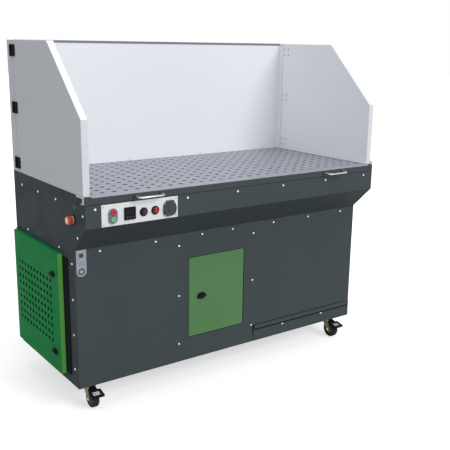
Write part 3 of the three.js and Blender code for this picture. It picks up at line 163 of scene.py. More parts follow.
class Shape:
    """Solids under construction, in the cabinet's own millimetres."""

    def __init__(self, finish):
        self.bm = bmesh.new()
        self.finishes = []
        self.use(finish)

    def use(self, finish):
        """Faces made from here on have this finish."""
        if finish not in self.finishes:
            self.finishes.append(finish)
        self.index = self.finishes.index(finish)

    def face(self, corners):
        made = self.bm.faces.new(list(dict.fromkeys(corners)))
        made.material_index = self.index

    def wall(self, near, far):
        """Faces between two closed loops of as many vertices."""
        for i in range(len(near)):
            j = (i + 1) % len(near)
            self.face([near[i], near[j], far[j], far[i]])

    def skin(self, rings, looped=False):
        """Faces between rings of points, each a full ring or one point, capped unless looped."""
        rings = [[self.bm.verts.new(p) for p in ring] for ring in rings]
        pairs = list(zip(rings, rings[1:]))
        if looped:
            pairs.append((rings[-1], rings[0]))
        for a, b in pairs:
            count = max(len(a), len(b))
            for i in range(count if count > 1 else 0):
                j = (i + 1) % count
                self.face([a[i % len(a)], a[j % len(a)], b[j % len(b)], b[i % len(b)]])
        for ring in [] if looped else [rings[0], rings[-1]]:
            if len(ring) > 2:
                self.face(ring)

    def loop(self, axis, outline, along):
        return [self.bm.verts.new(spot(axis, a, b, along)) for a, b in outline]

    def stack(self, axis, layers):
        """A solid through outlines of one count, each with its place along the axis."""
        self.skin([[spot(axis, a, b, along) for a, b in outline] for along, outline in layers])

    def prism(self, axis, outline, span):
        self.stack(axis, [(along, outline) for along in span])

    def box(self, xs, ys, zs):
        self.prism("x", [(ys[0], zs[0]), (ys[1], zs[0]), (ys[1], zs[1]), (ys[0], zs[1])], xs)

    def lathe(self, axis, centre, profile, sides=36, looped=False, at=0.0):
        """A profile of radius and place along the axis, counted from at, turned round the axis."""
        rings = []
        for radius, along in profile:
            outline = circle(centre, radius, sides) if radius else [centre]
            rings.append([spot(axis, a, b, at + along) for a, b in outline])
        self.skin(rings, looped)

    def rod(self, axis, centre, radius, span, sides=24):
        near, far = span
        self.lathe(axis, centre, [(0, near), (radius, near), (radius, far), (0, far)], sides)

    def ring(self, axis, centre, radii, span, sides=36):
        (inner, outer), (near, far) = radii, span
        self.lathe(axis, centre, [(inner, near), (outer, near), (outer, far), (inner, far)], sides, True)

    def tube(self, path, radius, sides=10):
        """A round rod along a path of points."""
        path = [Vector(p) for p in path]
        ahead = (path[1] - path[0]).normalized()
        across = ahead.orthogonal().normalized()
        rings = []
        for i, point in enumerate(path):
            before, after = path[max(i - 1, 0)], path[min(i + 1, len(path) - 1)]
            turn = ahead.rotation_difference(after - before)
            ahead, across = (after - before).normalized(), turn @ across
            up = ahead.cross(across)
            rings.append([point + radius * (a * across + b * up) for a, b in circle((0, 0), 1, sides)])
        self.skin(rings)

    def sheet(self, axis, us, vs, span, hole, fold=None):
        """A sheet with its face at span[0], and a hole in each grid cell for which hole(i, j) gives an
        outline that starts at the lower left diagonal. A fold turns the rim to a depth, with a wall."""
        end, inset = fold or (span[1], 0)

        def grid(inset, along):
            columns = [us[0] + inset, *us[1:-1], us[-1] - inset]
            rows = [vs[0] + inset, *vs[1:-1], vs[-1] - inset]
            return [self.loop(axis, [(u, v) for v in rows], along) for u in columns]

        def rim(points):
            m, n = len(us) - 1, len(vs) - 1
            loop = [(i, 0) for i in range(m)] + [(m, j) for j in range(n)]
            loop += [(i, n) for i in range(m, 0, -1)] + [(0, j) for j in range(n, 0, -1)]
            return [points[i][j] for i, j in loop]

        front, back = grid(0, span[0]), grid(inset, span[1])
        loops = [rim(front), rim(back)]
        if fold:
            outer, inner = ([self.bm.verts.new(v.co) for v in loop] for loop in loops)
            for v in outer + inner:
                v.co["xyz".index(axis)] = end
            loops = [loops[0], outer, inner, loops[1]]
        for near, far in zip(loops, loops[1:]):
            self.wall(near, far)
        for i in range(len(us) - 1):
            for j in range(len(vs) - 1):
                outline = hole(i, j)
                edges = []
                for points, along in ((front, span[0]), (back, span[1])):
                    corners = [points[i][j], points[i + 1][j], points[i + 1][j + 1], points[i][j + 1]]
                    if not outline:
                        self.face(corners)
                        continue
                    ring = self.loop(axis, outline, along)
                    quarter = len(ring) // 4
                    for q in range(4):
                        side = [ring[(q * quarter + k) % len(ring)] for k in range(quarter, -1, -1)]
                        self.face([corners[q], corners[(q + 1) % 4], *side])
                    edges.append(ring)
                if outline:
                    self.wall(*edges)

    def plate(self, axis, outline, holes, span):
        """A prism with holes through it."""
        ends = []
        for along in span:
            loops, edges = [], []
            for points in (outline, *holes):
                ring = self.loop(axis, points, along)
                edges += [self.bm.edges.new(pair) for pair in zip(ring, ring[1:] + ring[:1])]
                loops.append(ring)
            filled = bmesh.ops.triangle_fill(self.bm, use_beauty=True, edges=edges)
            for made in filled["geom"]:
                if isinstance(made, bmesh.types.BMFace):
                    made.material_index = self.index
            ends.append(loops)
        for near, far in zip(*ends):
            self.wall(near, far)

    def mirror(self):
        """The same piece on the other side of the cabinet."""
        for v in self.bm.verts:
            v.co.x = WIDTH - v.co.x

    def piece(self, name, body, slot, replaces=(), bevel=0.4, smooth=32):
        """Makes the shape a piece of the model, riding on a body."""
        bmesh.ops.recalc_face_normals(self.bm, faces=self.bm.faces)
        for v in self.bm.verts:
            v.co = ORIGIN + v.co * MM
        mesh = bpy.data.meshes.new(name)
        self.bm.to_mesh(mesh)
        self.bm.free()
        for finish in self.finishes:
            mesh.materials.append(finish)
        mesh.polygons.foreach_set("use_smooth", [True] * len(mesh.polygons))
        mesh.set_sharp_from_angle(angle=math.radians(smooth))
        made = place_object(name, mesh)
        if bevel:
            soften(made, bevel)
        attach(made, body)
        if replaces:
            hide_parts(*replaces)


def place_object(name, data):
    made = bpy.data.objects.new(name, data)
    bpy.context.scene.collection.objects.link(made)
    return made


def soften(made, width, angle=32):
    """Small round edges by a bevel modifier."""
    edge = made.modifiers.new("edges", "BEVEL")
    edge.width = width * MM
    edge.segments = 2
    edge.limit_method = "ANGLE"
    edge.angle_limit = math.radians(angle)
    edge.use_clamp_overlap = True


# Finishes


def srgb(*tone):
    """A colour of 0 to 255 as Blender's linear values."""
    return tuple((c / 255 / 12.92) if c < 11 else ((c / 255 + 0.055) / 1.055) ** 2.4 for c in tone)


class Nodes:
    """A node tree with a few helpers."""

    def __init__(self, owner):
        owner.use_nodes = True
        self.tree = owner.node_tree

    @staticmethod
    def set(node, sockets):
        for name, value in sockets.items():
            node.inputs[name.replace("_", " ")].default_value = value

    def link(self, node, links):
        for name, source in links.items():
            if source:
                self.tree.links.new(source, node.inputs[name])

    def node(self, kind, links=None, sockets=None, **settings):
        made = self.tree.nodes.new(kind)
        for name, value in settings.items():
            setattr(made, name, value)
        self.set(made, sockets or {})
        self.link(made, links or {})
        return made

    def seen(self):
        """1 for what the camera sees, straight or in metal and glass, and 0 for other light."""
        rays = self.node("ShaderNodeLightPath").outputs
        total = rays["Is Camera Ray"]
        for name in ("Is Glossy Ray", "Is Transmission Ray"):
            total = self.node("ShaderNodeMath", {0: total, 1: rays[name]}, operation="MAXIMUM").outputs[0]
        return total


class Finish(Nodes):
    """A material of one shader. Textures are laid in the piece's own space."""

    def __init__(self, name, colour, roughness, metallic=0.0, **sockets):
        self.material = bpy.data.materials.new(name)
        super().__init__(self.material)
        self.shader = self.tree.nodes["Principled BSDF"]
        self.colour = colour
        self.set(self.shader, {"Base Color": (*colour, 1), "Roughness": roughness, "Metallic": metallic})
        self.set(self.shader, sockets)
        self.space = self.node("ShaderNodeTexCoord").outputs["Object"]

    def noise(self, scale, detail, stretch=(1, 1, 1)):
        place = self.node("ShaderNodeMapping", {"Vector": self.space}, {"Scale": stretch})
        sockets = {"Scale": scale, "Detail": detail}
        return self.node("ShaderNodeTexNoise", {"Vector": place.outputs[0]}, sockets).outputs["Fac"]

    def cells(self, scale, output):
        return self.node("ShaderNodeTexVoronoi", {"Vector": self.space}, {"Scale": scale}).outputs[output]

    def remap(self, source, span, values):
        sockets = {"From Min": span[0], "From Max": span[1], "To Min": values[0], "To Max": values[1]}
        return self.node("ShaderNodeMapRange", {"Value": source}, sockets).outputs["Result"]

    def drift(self, scale, detail, values, span=(0.3, 0.7), stretch=(1, 1, 1)):
        """Noise whose middle span is spread over the given values."""
        return self.remap(self.noise(scale, detail, stretch), span, values)

    def mix(self, factor, first, second):
        made = self.node("ShaderNodeMix", data_type="RGBA")
        for socket, value in ((made.inputs[0], factor), (made.inputs[6], first), (made.inputs[7], second)):
            if isinstance(value, bpy.types.NodeSocket):
                self.tree.links.new(value, socket)
            else:
                socket.default_value = value
        return made.outputs[2]

    def shade(self, amount):
        """The finish's colour, darker where the amount is below 1 and lighter above."""
        return tuple(min(c * amount, 1) for c in self.colour) + (1,)

    def shades(self, factor, low, high):
        return self.mix(factor, self.shade(low), self.shade(high))

    def done(self, colour, roughness, height, depth, strength):
        """The material with its colour and roughness driven, and relief of a depth in millimetres."""
        sockets = {"Strength": strength, "Distance": depth * MM}
        relief = self.node("ShaderNodeBump", {"Height": height}, sockets)
        self.link(self.shader, {"Base Color": colour, "Roughness": roughness, "Normal": relief.outputs[0]})
        return self.material


def powder_coat(name, tone, roughness, peel=0.05, patch=0.05):
    """Satin powder coat: orange peel, a slow drift of tone and faint rubbed patches."""
    made = Finish(name, srgb(*tone), roughness, Specular_IOR_Level=0.012)
    base = made.shades(made.drift(2.2, 4, (0, 1)), 1 - patch, 1 + patch)
    fleck = made.drift(420, 2, (0, 0.16), (0.52, 0.62))
    rubbed = made.drift(9, 5, (roughness - 0.07, roughness + 0.08), (0.35, 0.7), (1, 1, 2.4))
    return made.done(made.mix(fleck, base, made.shade(1.25)), rubbed, made.noise(330, 2), peel, 0.5)


def galvanised_steel(name, tone, roughness=0.42, metallic=0.3):
    """Zinc-coated sheet with its spangle of flat crystals and a rolling grain."""
    made = Finish(name, srgb(*tone), roughness, metallic)
    grey = made.node("ShaderNodeRGBToBW", {"Color": made.cells(75, "Color")}).outputs[0]
    spangle = made.shades(made.remap(grey, (0.1, 0.9), (0, 1)), 0.86, 1.12)
    clouded = made.mix(made.drift(3, 4, (0, 0.35)), spangle, made.shade(0.93))
    dull = made.remap(grey, (0.1, 0.9), (roughness - 0.1, roughness + 0.12))
    return made.done(clouded, dull, made.noise(160, 3, (0.15, 1, 1)), 0.03, 0.4)


def moulded(name, tone, roughness, specular=0.5, grain=0.04, **sockets):
    """Moulded plastic with a fine eroded grain."""
    made = Finish(name, srgb(*tone), roughness, Specular_IOR_Level=specular, **sockets)
    worn = made.drift(25, 4, (roughness - 0.06, roughness + 0.08))
    return made.done(made.shades(made.noise(60, 4), 0.9, 1.12), worn, made.noise(1500, 2), grain, 0.6)


def bare_metal(name, tone, roughness, stretch=(1, 1, 1), scratch=0.02):
    """Plain metal with a directional finish and small scuffs."""
    made = Finish(name, srgb(*tone), roughness, 1.0)
    grain = made.noise(180, 5, stretch)
    scuffed = made.remap(grain, (0.3, 0.7), (roughness * 0.75, roughness * 1.35))
    return made.done(made.shades(grain, 0.82, 1.12), scuffed, grain, scratch, 0.5)


FILM = ((0.3, (112, 90, 48)), (0.48, (134, 120, 66)), (0.6, (126, 130, 82)), (0.75, (142, 112, 92)))


def passivated_zinc(name, tone):
    """Yellow passivated zinc, whose film drifts from straw to pink and green."""
    made = Finish(name, srgb(*tone), 0.42, 0.6, Specular_IOR_Level=0.2)
    film = made.node("ShaderNodeValToRGB", {"Fac": made.noise(38, 4)})
    ramp = film.color_ramp.elements
    for element, (place, stop) in zip([ramp[0], ramp[1], ramp.new(0.5), ramp.new(0.6)], FILM):
        element.position = place
        element.color = (*srgb(*stop), 1)
    stained = made.mix(0.6, made.shade(1), film.outputs["Color"])
    return made.done(stained, made.drift(90, 3, (0.28, 0.5)), made.noise(300, 3), 0.03, 0.5)


def tyre_rubber(name, tone):
    """Black rubber, scuffed and dusty where it rolls."""
    made = Finish(name, srgb(*tone), 0.72, Specular_IOR_Level=0.15)
    dust = made.drift(45, 5, (0, 0.5), (0.5, 0.72))
    dusty = made.mix(dust, made.shade(0.9), (*srgb(70, 76, 74), 1))
    return made.done(dusty, made.drift(120, 4, (0.62, 0.85)), made.noise(420, 4), 0.12, 0.7)


def pleated_paper(name, tone):
    """Filter paper with fibre and settled grey dust."""
    made = Finish(name, srgb(*tone), 0.92, Sheen_Weight=0.2, Sheen_Roughness=0.5)
    fibre = made.shades(made.noise(500, 5), 0.88, 1.08)
    dust = made.drift(14, 5, (0, 0.45), (0.42, 0.7))
    dusty = made.mix(dust, fibre, (*srgb(150, 144, 134), 1))
    return made.done(dusty, None, made.noise(700, 4), 0.1, 0.7)


def clear_window(name, tone):
    """A dark glossy window, smeared a little."""
    made = Finish(name, srgb(*tone), 0.16, Specular_IOR_Level=0.12)
    made.link(made.shader, {"Roughness": made.drift(70, 4, (0.12, 0.3), (0.4, 0.7))})
    return made.material


def lamp_lens(name, tone):
    """A coloured lens with painted glints: its colour brightens away from the middle of each prism."""
    made = Finish(name, srgb(*tone), 0.16, Specular_IOR_Level=0.25)
    prisms = made.cells(520, "Distance")
    # Painted highlight: the prism cells lighten the lens colour up to 1.6 times.
    return made.done(made.shades(prisms, 0.7, 1.6), None, prisms, 0.15, 0.8)


ANTHRACITE = powder_coat("anthracite powder coat", (79, 87, 89), 0.5)
WALL_WHITE = powder_coat("white powder coat", (240, 242, 246), 0.45, 0.04, 0.012)
DOOR_GREEN = powder_coat("green powder coat", (102, 145, 97), 0.48)
# Painted light: the side door's front return gets a lighter, yellower copy of its green, as where it catches
# the light.
SUNLIT_GREEN = powder_coat("sunlit green powder coat, painted light", (142, 240, 110), 0.45)
SIDE_GREEN = powder_coat("bright green powder coat", (30, 150, 78), 0.45)
GALVANISED = galvanised_steel("galvanised steel", (159, 161, 171))
FAN_GREY = powder_coat("grey enamel", (128, 135, 139), 0.5)
CAST_GREY = powder_coat("blue-grey enamel on casting", (84, 96, 104), 0.5, 0.12)
BLACK_METAL = powder_coat("black powder coat", (32, 36, 38), 0.5)
PANEL_WHITE = powder_coat("white enamelled plate", (252, 253, 255), 0.4, 0.01, 0.008)
BLACK_PLASTIC = moulded("black moulded plastic", (26, 31, 31), 0.5, 0.06)
DARK_PLASTIC = moulded("dark grey moulded plastic", (60, 66, 70), 0.4, 0.3)
GREY_PLASTIC = moulded("grey moulded plastic", (126, 130, 134), 0.45, 0.2)
# Painted light: a lighter grey for the socket housing stands in for its lit side.
LIT_SOCKET_GREY = moulded("slate moulded plastic with painted light", (92, 99, 103), 0.45, 0.2)
PALE_PLASTIC = moulded("pale grey moulded plastic", (176, 181, 190), 0.45, 0.1)
RED_PLASTIC = moulded("red moulded plastic", (212, 38, 70), 0.3, 0.3, 0.02)
GREEN_PLASTIC = moulded("green moulded plastic", (104, 200, 156), 0.3, 0.3, 0.02)
STOP_RED = moulded("orange-red moulded plastic", (238, 92, 52), 0.3, grain=0.02, Coat_Weight=0.4)
PALE_YELLOW = moulded("pale yellow moulded plastic", (250, 214, 150), 0.35, Coat_Weight=0.5)
# Black rubber for real gaskets, and for dark strips that paint shade in gaps and under the drawer's lip.
GASKET_AND_SHADE = moulded("gasket rubber and painted shade", (34, 40, 39), 0.85, 0.03, 0.2)
DARK_LENS = lamp_lens("dark red lens", (70, 20, 32))
RED_LENS = lamp_lens("red lens", (150, 32, 40))
WINDOW = clear_window("dark window", (20, 24, 26))
SCREW_STEEL = bare_metal("bright zinc", (214, 216, 218), 0.3)
CHROME = bare_metal("polished chrome", (176, 180, 184), 0.2, scratch=0.006)
DARK_STEEL = bare_metal("dark steel wire", (58, 62, 66), 0.5)
SATIN_STEEL = bare_metal("satin steel", (168, 172, 176), 0.34, (1, 1, 6))
BRASS = bare_metal("brass", (196, 160, 88), 0.3)
ZINC = passivated_zinc("yellow passivated zinc", (140, 128, 74))
RUBBER = tyre_rubber("tyre rubber", (36, 46, 44))
PAPER = pleated_paper("filter paper", (222, 214, 196))

# CAD nodes that keep their own shape, with the radius of their edges and their finish
KEPT = {
    "base_pan": (0.8, ANTHRACITE),
    "left_side_panel": (0.8, ANTHRACITE),
    "right_side_panel": (0.8, ANTHRACITE),
    "rear_panel": (0.8, ANTHRACITE),
    "lower_front_panel": (0.8, ANTHRACITE),
    "control_fascia": (0.9, ANTHRACITE),
    "worktop_rim": (0.6, ANTHRACITE),
    "spark_tray": (0.6, ANTHRACITE),
    "back_wall": (1.2, WALL_WHITE),
    "control_plate": (0.3, PANEL_WHITE),
    "front_door": (0.9, DOOR_GREEN),
    "dust_drawer": (0.8, ANTHRACITE),
    "plenum_hopper": (0.5, GALVANISED),
    "filter_partition": (0.5, GALVANISED),
    "fan_housing": (0.8, FAN_GREY),
    "electrical_box": (0.6, PALE_PLASTIC),
}


def dress_kept_nodes():
    for name, (edge, finish) in KEPT.items():
        node = frame["nodes"][name]
        node.data.materials.clear()
        node.data.materials.append(finish)
        flat = node.modifiers.new("flat faces", "DECIMATE")
        flat.decimate_type = "DISSOLVE"
        flat.angle_limit = math.radians(0.5)
        soften(node, edge)


# Fasteners

SCREW = Sizes(radius=4.9, proud=3.0, socket=2.0, depth=1.6, sides=18)
SCREW_HEAD = ((0, 1), (0.3, 1), (0.75, 0.82), (1, 0.55))
NUT = ((0, 1), (0.8, 1), (1, 0.86))


def head(centre, radius, surface, rise, shares, sides):
    """Layers of a fastener's head, from shares of its rise and of its radius."""
    return [(surface + rise * up, circle(centre, radius * out, sides)) for up, out in shares]


def screw(shape, axis, way, centre, surface, size=1.0):
    """A round-headed hex screw on a surface. way is the sense of the axis that it stands out to."""
    layers = head(centre, SCREW.radius * size, surface, way * SCREW.proud * size, SCREW_HEAD, SCREW.sides)
    turns = steps_between(0, TURN, SCREW.sides)[:-1]
    hexagon = star(centre, [SCREW.socket * size / math.cos(turn % (TURN / 6) - TURN / 12) for turn in turns])
    floor = surface + way * (SCREW.proud - SCREW.depth) * size
    shape.stack(axis, [*layers, (layers[-1][0], hexagon), (floor, hexagon)])


def hex_nut(shape, axis, way, centre, surface, radius, height):
    shape.stack(axis, head(centre, radius, surface, way * height, NUT, 6))


FRONT_SCREWS = (
    (0, -46.5, (40, 445, 694, 943, 1195, 1443)),
    (SETBACK, -239.5, (107, 359, 589, 751, 984, 1197, 1408)),
    *((SETBACK, z, (472, 868)) for z in (-275, -497, -717)),
)
SIDE_SCREWS = (
    (621, -51), (443, -50), (263.5, -50), (21, -71.5), (71, -165), (576, -240), (250, -242),
    (131, -281), (134, -429), (136, -576), (138, -723),
)
REAR_SCREWS = Sizes(inset=24, counts=(6, 4))
PLATE_SCREWS = Sizes(inset=8, size=0.7)
DRAWER_SCREWS = ((1058, -751), (1310, -751))


def cabinet_screws():
    shape = Shape(SCREW_STEEL)
    for surface, z, xs in FRONT_SCREWS:
        for x in xs:
            screw(shape, "y", -1, (x, TOP + z), surface)
    for y, z in SIDE_SCREWS:
        screw(shape, "x", -1, (y, TOP + z), 0)
        screw(shape, "x", 1, (y, TOP + z), WIDTH)
    rear = (grown(span, -REAR_SCREWS.inset) for span in ((0, WIDTH), spans("rear_panel")[2]))
    xs, zs = (steps_between(*span, count - 1) for span, count in zip(rear, REAR_SCREWS.counts))
    for x in xs:
        for z in zs:
            if x in (xs[0], xs[-1]) or z in (zs[0], zs[-1]):
                screw(shape, "y", 1, (x, z), DEPTH)
    shape.use(SATIN_STEEL)
    for place in four_corners(PANEL[0], PANEL[2], PLATE_SCREWS.inset):
        screw(shape, "y", -1, place, PANEL[1][0], PLATE_SCREWS.size)
    shape.piece("cabinet_screws", CABINET, "bright_steel", bevel=0)


# LIP.grip is the height and sheet of the dark strip painted under the lip as its shadow.
LIP = Sizes(proud=6, height=16, end=6, lean=1.6, cover=0.6, grip=(9, 0.8))


def drawer_screws():
    shape = Shape(SCREW_STEEL)
    for x, z in DRAWER_SCREWS:
        screw(shape, "y", -1, (x, TOP + z), spans("dust_drawer")[1][0] + LIP.proud)
    shape.piece("dust_drawer_screws", "dust_drawer", "bright_steel", bevel=0)


def drawer_lip():
    """A sloped cover over the drawer's pull lip, and a dark strip under it as the lip's painted shadow."""
    (left, _), (front, _), (_, top) = spans("dust_drawer")
    xs = (left + LIP.lean, WIDTH - LIP.end)
    face, low = front + LIP.proud, top - LIP.height
    cover, (height, sheet) = LIP.cover, LIP.grip
    profile = [(front - cover, low), (front - LIP.lean, low + LIP.lean), (face - cover, top + cover),
               (face + cover, top + cover), (face + cover, top), (front, low)]
    shape = Shape(ANTHRACITE)
    shape.prism("x", profile, xs)
    shape.piece("drawer_lip_cover", "dust_drawer", "anthracite", bevel=0.2)
    # Painted shadow: a dark strip below the lip.
    shape = Shape(GASKET_AND_SHADE)
    shape.box(xs, (face - sheet, face), (low - height, low))
    shape.piece("drawer_lip_painted_shadow", "dust_drawer", "black_plastic", bevel=0.2)


# Worktop and tray

HOLES = Sizes(pitch=50, radius=10.5, first_row=62, rows=13, columns=29, sides=16)


def perforated_worktop():
    xs, ys, zs = spans("perforated_worktop")
    columns = [HOLES.pitch * (i + 1) for i in range(HOLES.columns)]
    rows = [HOLES.first_row + HOLES.pitch * j for j in range(HOLES.rows)]
    half = HOLES.pitch / 2
    us = [xs[0], *[x + half for x in columns[:-1]], xs[1]]
    vs = [ys[0], rows[0] - half, *[y + half for y in rows[:-1]], ys[1]]

    def hole(i, j):
        return circle((columns[i], rows[j - 1]), HOLES.radius, HOLES.sides, TURN * -3 / 8) if j else None

    shape = Shape(GALVANISED)
    shape.sheet("z", us, vs, (zs[1], zs[0]), hole)
    shape.piece("perforated_plate", CABINET, "galvanised", ["perforated_worktop"], bevel=0.35)


MESH = Sizes(pitch=14, wire=1.1, ripple=0.55, lift=3.4, side=27, front=28, rear=26)


def tray_mesh():
    """Woven wire on the tray's floor, kept dark as painted shade under the worktop's holes."""
    _, ys, zs = spans("spark_tray")
    floor = zs[0] + MESH.lift
    xs = grown((0, WIDTH), -WING.thickness - MESH.side)
    ys = (MESH.front, ys[1] - MESH.rear)
    # Painted shade: the wire's dark finish darkens what shows through the worktop's holes.
    shape = Shape(DARK_STEEL)
    for along, across, turned in ((xs, ys, 0), (ys, xs, 1)):
        places, runs = steps_of(across, MESH.pitch), steps_of(along, MESH.pitch)
        for i, place in enumerate(places):
            points = []
            for j, run in enumerate(runs):
                z = floor + MESH.ripple * (1 if (i + j + turned) % 2 else -1)
                points.append((place, run, z) if turned else (run, place, z))
            shape.tube(points, MESH.wire, 4)
    shape.piece("tray_wire_mesh", "spark_tray", "bright_steel", bevel=0)


HANDLE = Sizes(wire=4, bend=14, inset=7.4, steps=8, foot=((0, 0), (7.4, 0), (7.4, -1.5), (5.5, -3), (0, -3)))


def tray_handle(side):
    node = f"{side}_tray_handle"
    xs, ys, zs = spans(node)
    z = middle(zs)
    left, right = grown(xs, -HANDLE.inset)
    out = ys[0] + HANDLE.wire + HANDLE.bend
    path = [(left, 0, z)]
    for x, start in ((left + HANDLE.bend, TURN / 2), (right - HANDLE.bend, TURN * 3 / 4)):
        path += [(a, b, z) for a, b in arc((x, out), HANDLE.bend, start, start + TURN / 4, HANDLE.steps)]
    path.append((right, 0, z))
    shape = Shape(CHROME)
    shape.tube(path, HANDLE.wire, 20)
    shape.use(DARK_STEEL)
    for x in (left, right):
        shape.lathe("y", (x, z), HANDLE.foot, 28)
    shape.piece(node + "_bar", "spark_tray", "bright_steel", [node], bevel=0)


# Walls

HINGE = Sizes(plate=5, knuckle=5, pin=2.6, dome=(0.6, 1.2), reach=(30, 24), gap=0.3, corner=3, out=6, lap=1,
              screw_inset=10, screw=0.62)
HOOK = Sizes(front=5, length=65, leg=15, foot=14, above=15, below=6, window=17.5, toe=4, plate=2)
BOLTS = Sizes(ys=(611, 641), spread=14, size=0.8)
HINGE_Y = spans("left_wing_hinge_top")[1][0] + HINGE.knuckle * math.cos(TURN / 16)


def hinge_leaf(shape, ys, zs, knuckles, back):
    """One leaf of a hinge, with its knuckles and two screws."""
    shape.prism("x", rounded(ys, zs, HINGE.corner), (-HINGE.plate, back))
    near = ys[1] - HINGE.lap if ys[1] < HINGE_Y else ys[0] + HINGE.lap
    for span in knuckles:
        shape.box((-HINGE.plate, -HINGE.lap), sorted((near, HINGE_Y)), span)
        shape.rod("z", (-HINGE.out, HINGE_Y), HINGE.knuckle, span)
    shape.use(DARK_STEEL)
    for z in grown(zs, -HINGE.screw_inset):
        screw(shape, "x", -1, (middle(ys), z), -HINGE.plate, HINGE.screw)
    shape.use(BLACK_METAL)


def wing_leaf(shape, zs):
    """The moving leaf of a hinge, with the middle knuckle."""
    third = (zs[1] - zs[0]) / 3
    ys = (HINGE_Y - HINGE.reach[0], HINGE_Y - HINGE.knuckle - HINGE.gap)
    hinge_leaf(shape, ys, zs, [grown(zs, -third - HINGE.gap)], 0)


def post_leaf(side, node, zs):
    """The fixed leaf, with two knuckles and the domed pin."""
    third = (zs[1] - zs[0]) / 3 - HINGE.gap
    ys = (HINGE_Y + HINGE.knuckle + HINGE.gap, HINGE_Y + HINGE.reach[1])
    shape = Shape(BLACK_METAL)
    hinge_leaf(shape, ys, zs, [(zs[0], zs[0] + third), (zs[1] - third, zs[1])], -SEAT)
    shape.use(SATIN_STEEL)
    (low, high), (tip_low, tip_high) = (grown(zs, by) for by in HINGE.dome)
    pin = [(0, tip_low), (HINGE.pin, low), (HINGE.pin, high), (0, tip_high)]
    shape.lathe("z", (-HINGE.out, HINGE_Y), pin, 20)
    if side == "right":
        shape.mirror()
    shape.piece(node + "_leaf", CABINET, "black_metal", [node])


def wing(side):
    """A side wing: its folded panel, the hook at its front foot, hinge leaves and bolt heads."""
    _, (front, _), (_, top) = spans("left_wing")
    front += WING.hook_lead
    rear, bottom, thickness = WING.rear, TOP + SEAT, WING.thickness
    outline = [(front, bottom), (rear, bottom), (rear, top), (WING.slope_end, top),
               (front, TOP + WING.slope_start)]
    panel = Shape(WALL_WHITE)
    panel.prism("x", outline, (0, thickness))
    hook = Shape(WALL_WHITE)
    near, leg, back = HOOK.front, HOOK.front + HOOK.leg, HOOK.front + HOOK.length
    high, window = TOP + HOOK.above, TOP - HOOK.below
    floor = window - HOOK.window
    toe = floor - HOOK.toe
    path = [(near, high), (near, toe), (leg + HOOK.foot, toe), (leg + HOOK.foot, floor), (leg, floor),
            (leg, window), (back, window), (back, high)]
    hook.prism("x", path, (-SEAT - HOOK.plate, -SEAT))
    leaves = Shape(BLACK_METAL)
    bolts = Shape(SATIN_STEEL)
    for place in ("bottom", "middle", "top"):
        node = f"{side}_wing_hinge_{place}"
        zs = spans(node)[2]
        post_leaf(side, node, zs)
        wing_leaf(leaves, zs)
        for y in BOLTS.ys:
            for z in about(middle(zs), BOLTS.spread):
                screw(bolts, "x", 1, (y, z), thickness, BOLTS.size)
    shapes = ((panel, "panel", "wall_white", 1.2), (hook, "hook", "wall_white", 0.5),
              (leaves, "hinge_leaves", "black_metal", 0.5), (bolts, "bolt_heads", "bright_steel", 0))
    for shape, name, slot, edge in shapes:
        if side == "right":
            shape.mirror()
        replaced = [f"{side}_wing"] if name == "panel" else []
        shape.piece(f"{side}_wing_{name}", f"{side}_wing", slot, replaced, bevel=edge)


TRIM = Sizes(drop=9, sheet=1.2, wall=32, end=1, screws=(152, 558, 964, 1370), size=0.8, foot=9, rear_foot=30,
             rear_head=40)


def back_wall_trim():
    """A grey channel along the back wall's upper edge, whose grey is painted shade along that edge, and
    screws at its foot and behind it.
    """
    _, (_, rear), (_, top) = spans("back_wall")
    front, sheet = DEPTH - TRIM.wall, TRIM.sheet
    # Painted shade: the channel is grey rather than the wall's white, for the darker band under the top edge.
    shape = Shape(FAN_GREY)
    ends = grown((0, WIDTH), -WING.thickness - TRIM.end)
    for ys, low in (((front - sheet, front), top - TRIM.drop), ((front - sheet / 2, rear), top),
                    ((rear, rear + sheet), top - TRIM.drop)):
        shape.box(ends, ys, (low, top + sheet))
    shape.piece("back_wall_trim", CABINET, "galvanised", bevel=0.3)
    studs = Shape(SCREW_STEEL)
    rows = ((-1, TOP + TRIM.foot, front), (1, TOP + TRIM.rear_foot, rear), (1, top - TRIM.rear_head, rear))
    for x in TRIM.screws:
        for way, z, y in rows:
            screw(studs, "y", way, (x, z), y, TRIM.size)
    studs.piece("back_wall_screws", CABINET, "bright_steel", bevel=0)


# Doors and their latches

DOOR = Sizes(skin=2, pin=9, pin_radius=3, pin_from_rear=4, pin_out=6.5, clear=3)
VENT = Sizes(front=69, rear=33, top=116, foot=102, columns=11, rows=9, slot=(7.75, 7.75), corner=5.5, steps=4)
# The knob's layers are counted from its rim and the grip's from its front
LATCH = Sizes(knob=(23, 15.5), depth=12, base=3.5, grip=(21, 6), grip_shape=0.75, shaft=4.5, cam=3,
              knob_layers=((1, 1), (0, 0.93), (0, 0.5)), grip_layers=((1.5, 0.96), (0.4, 0.86), (0, 0.7)),
              grip_lap=0.5, shaft_lap=1, cam_half=10, cam_corner=8, nut=(6.5, 4))


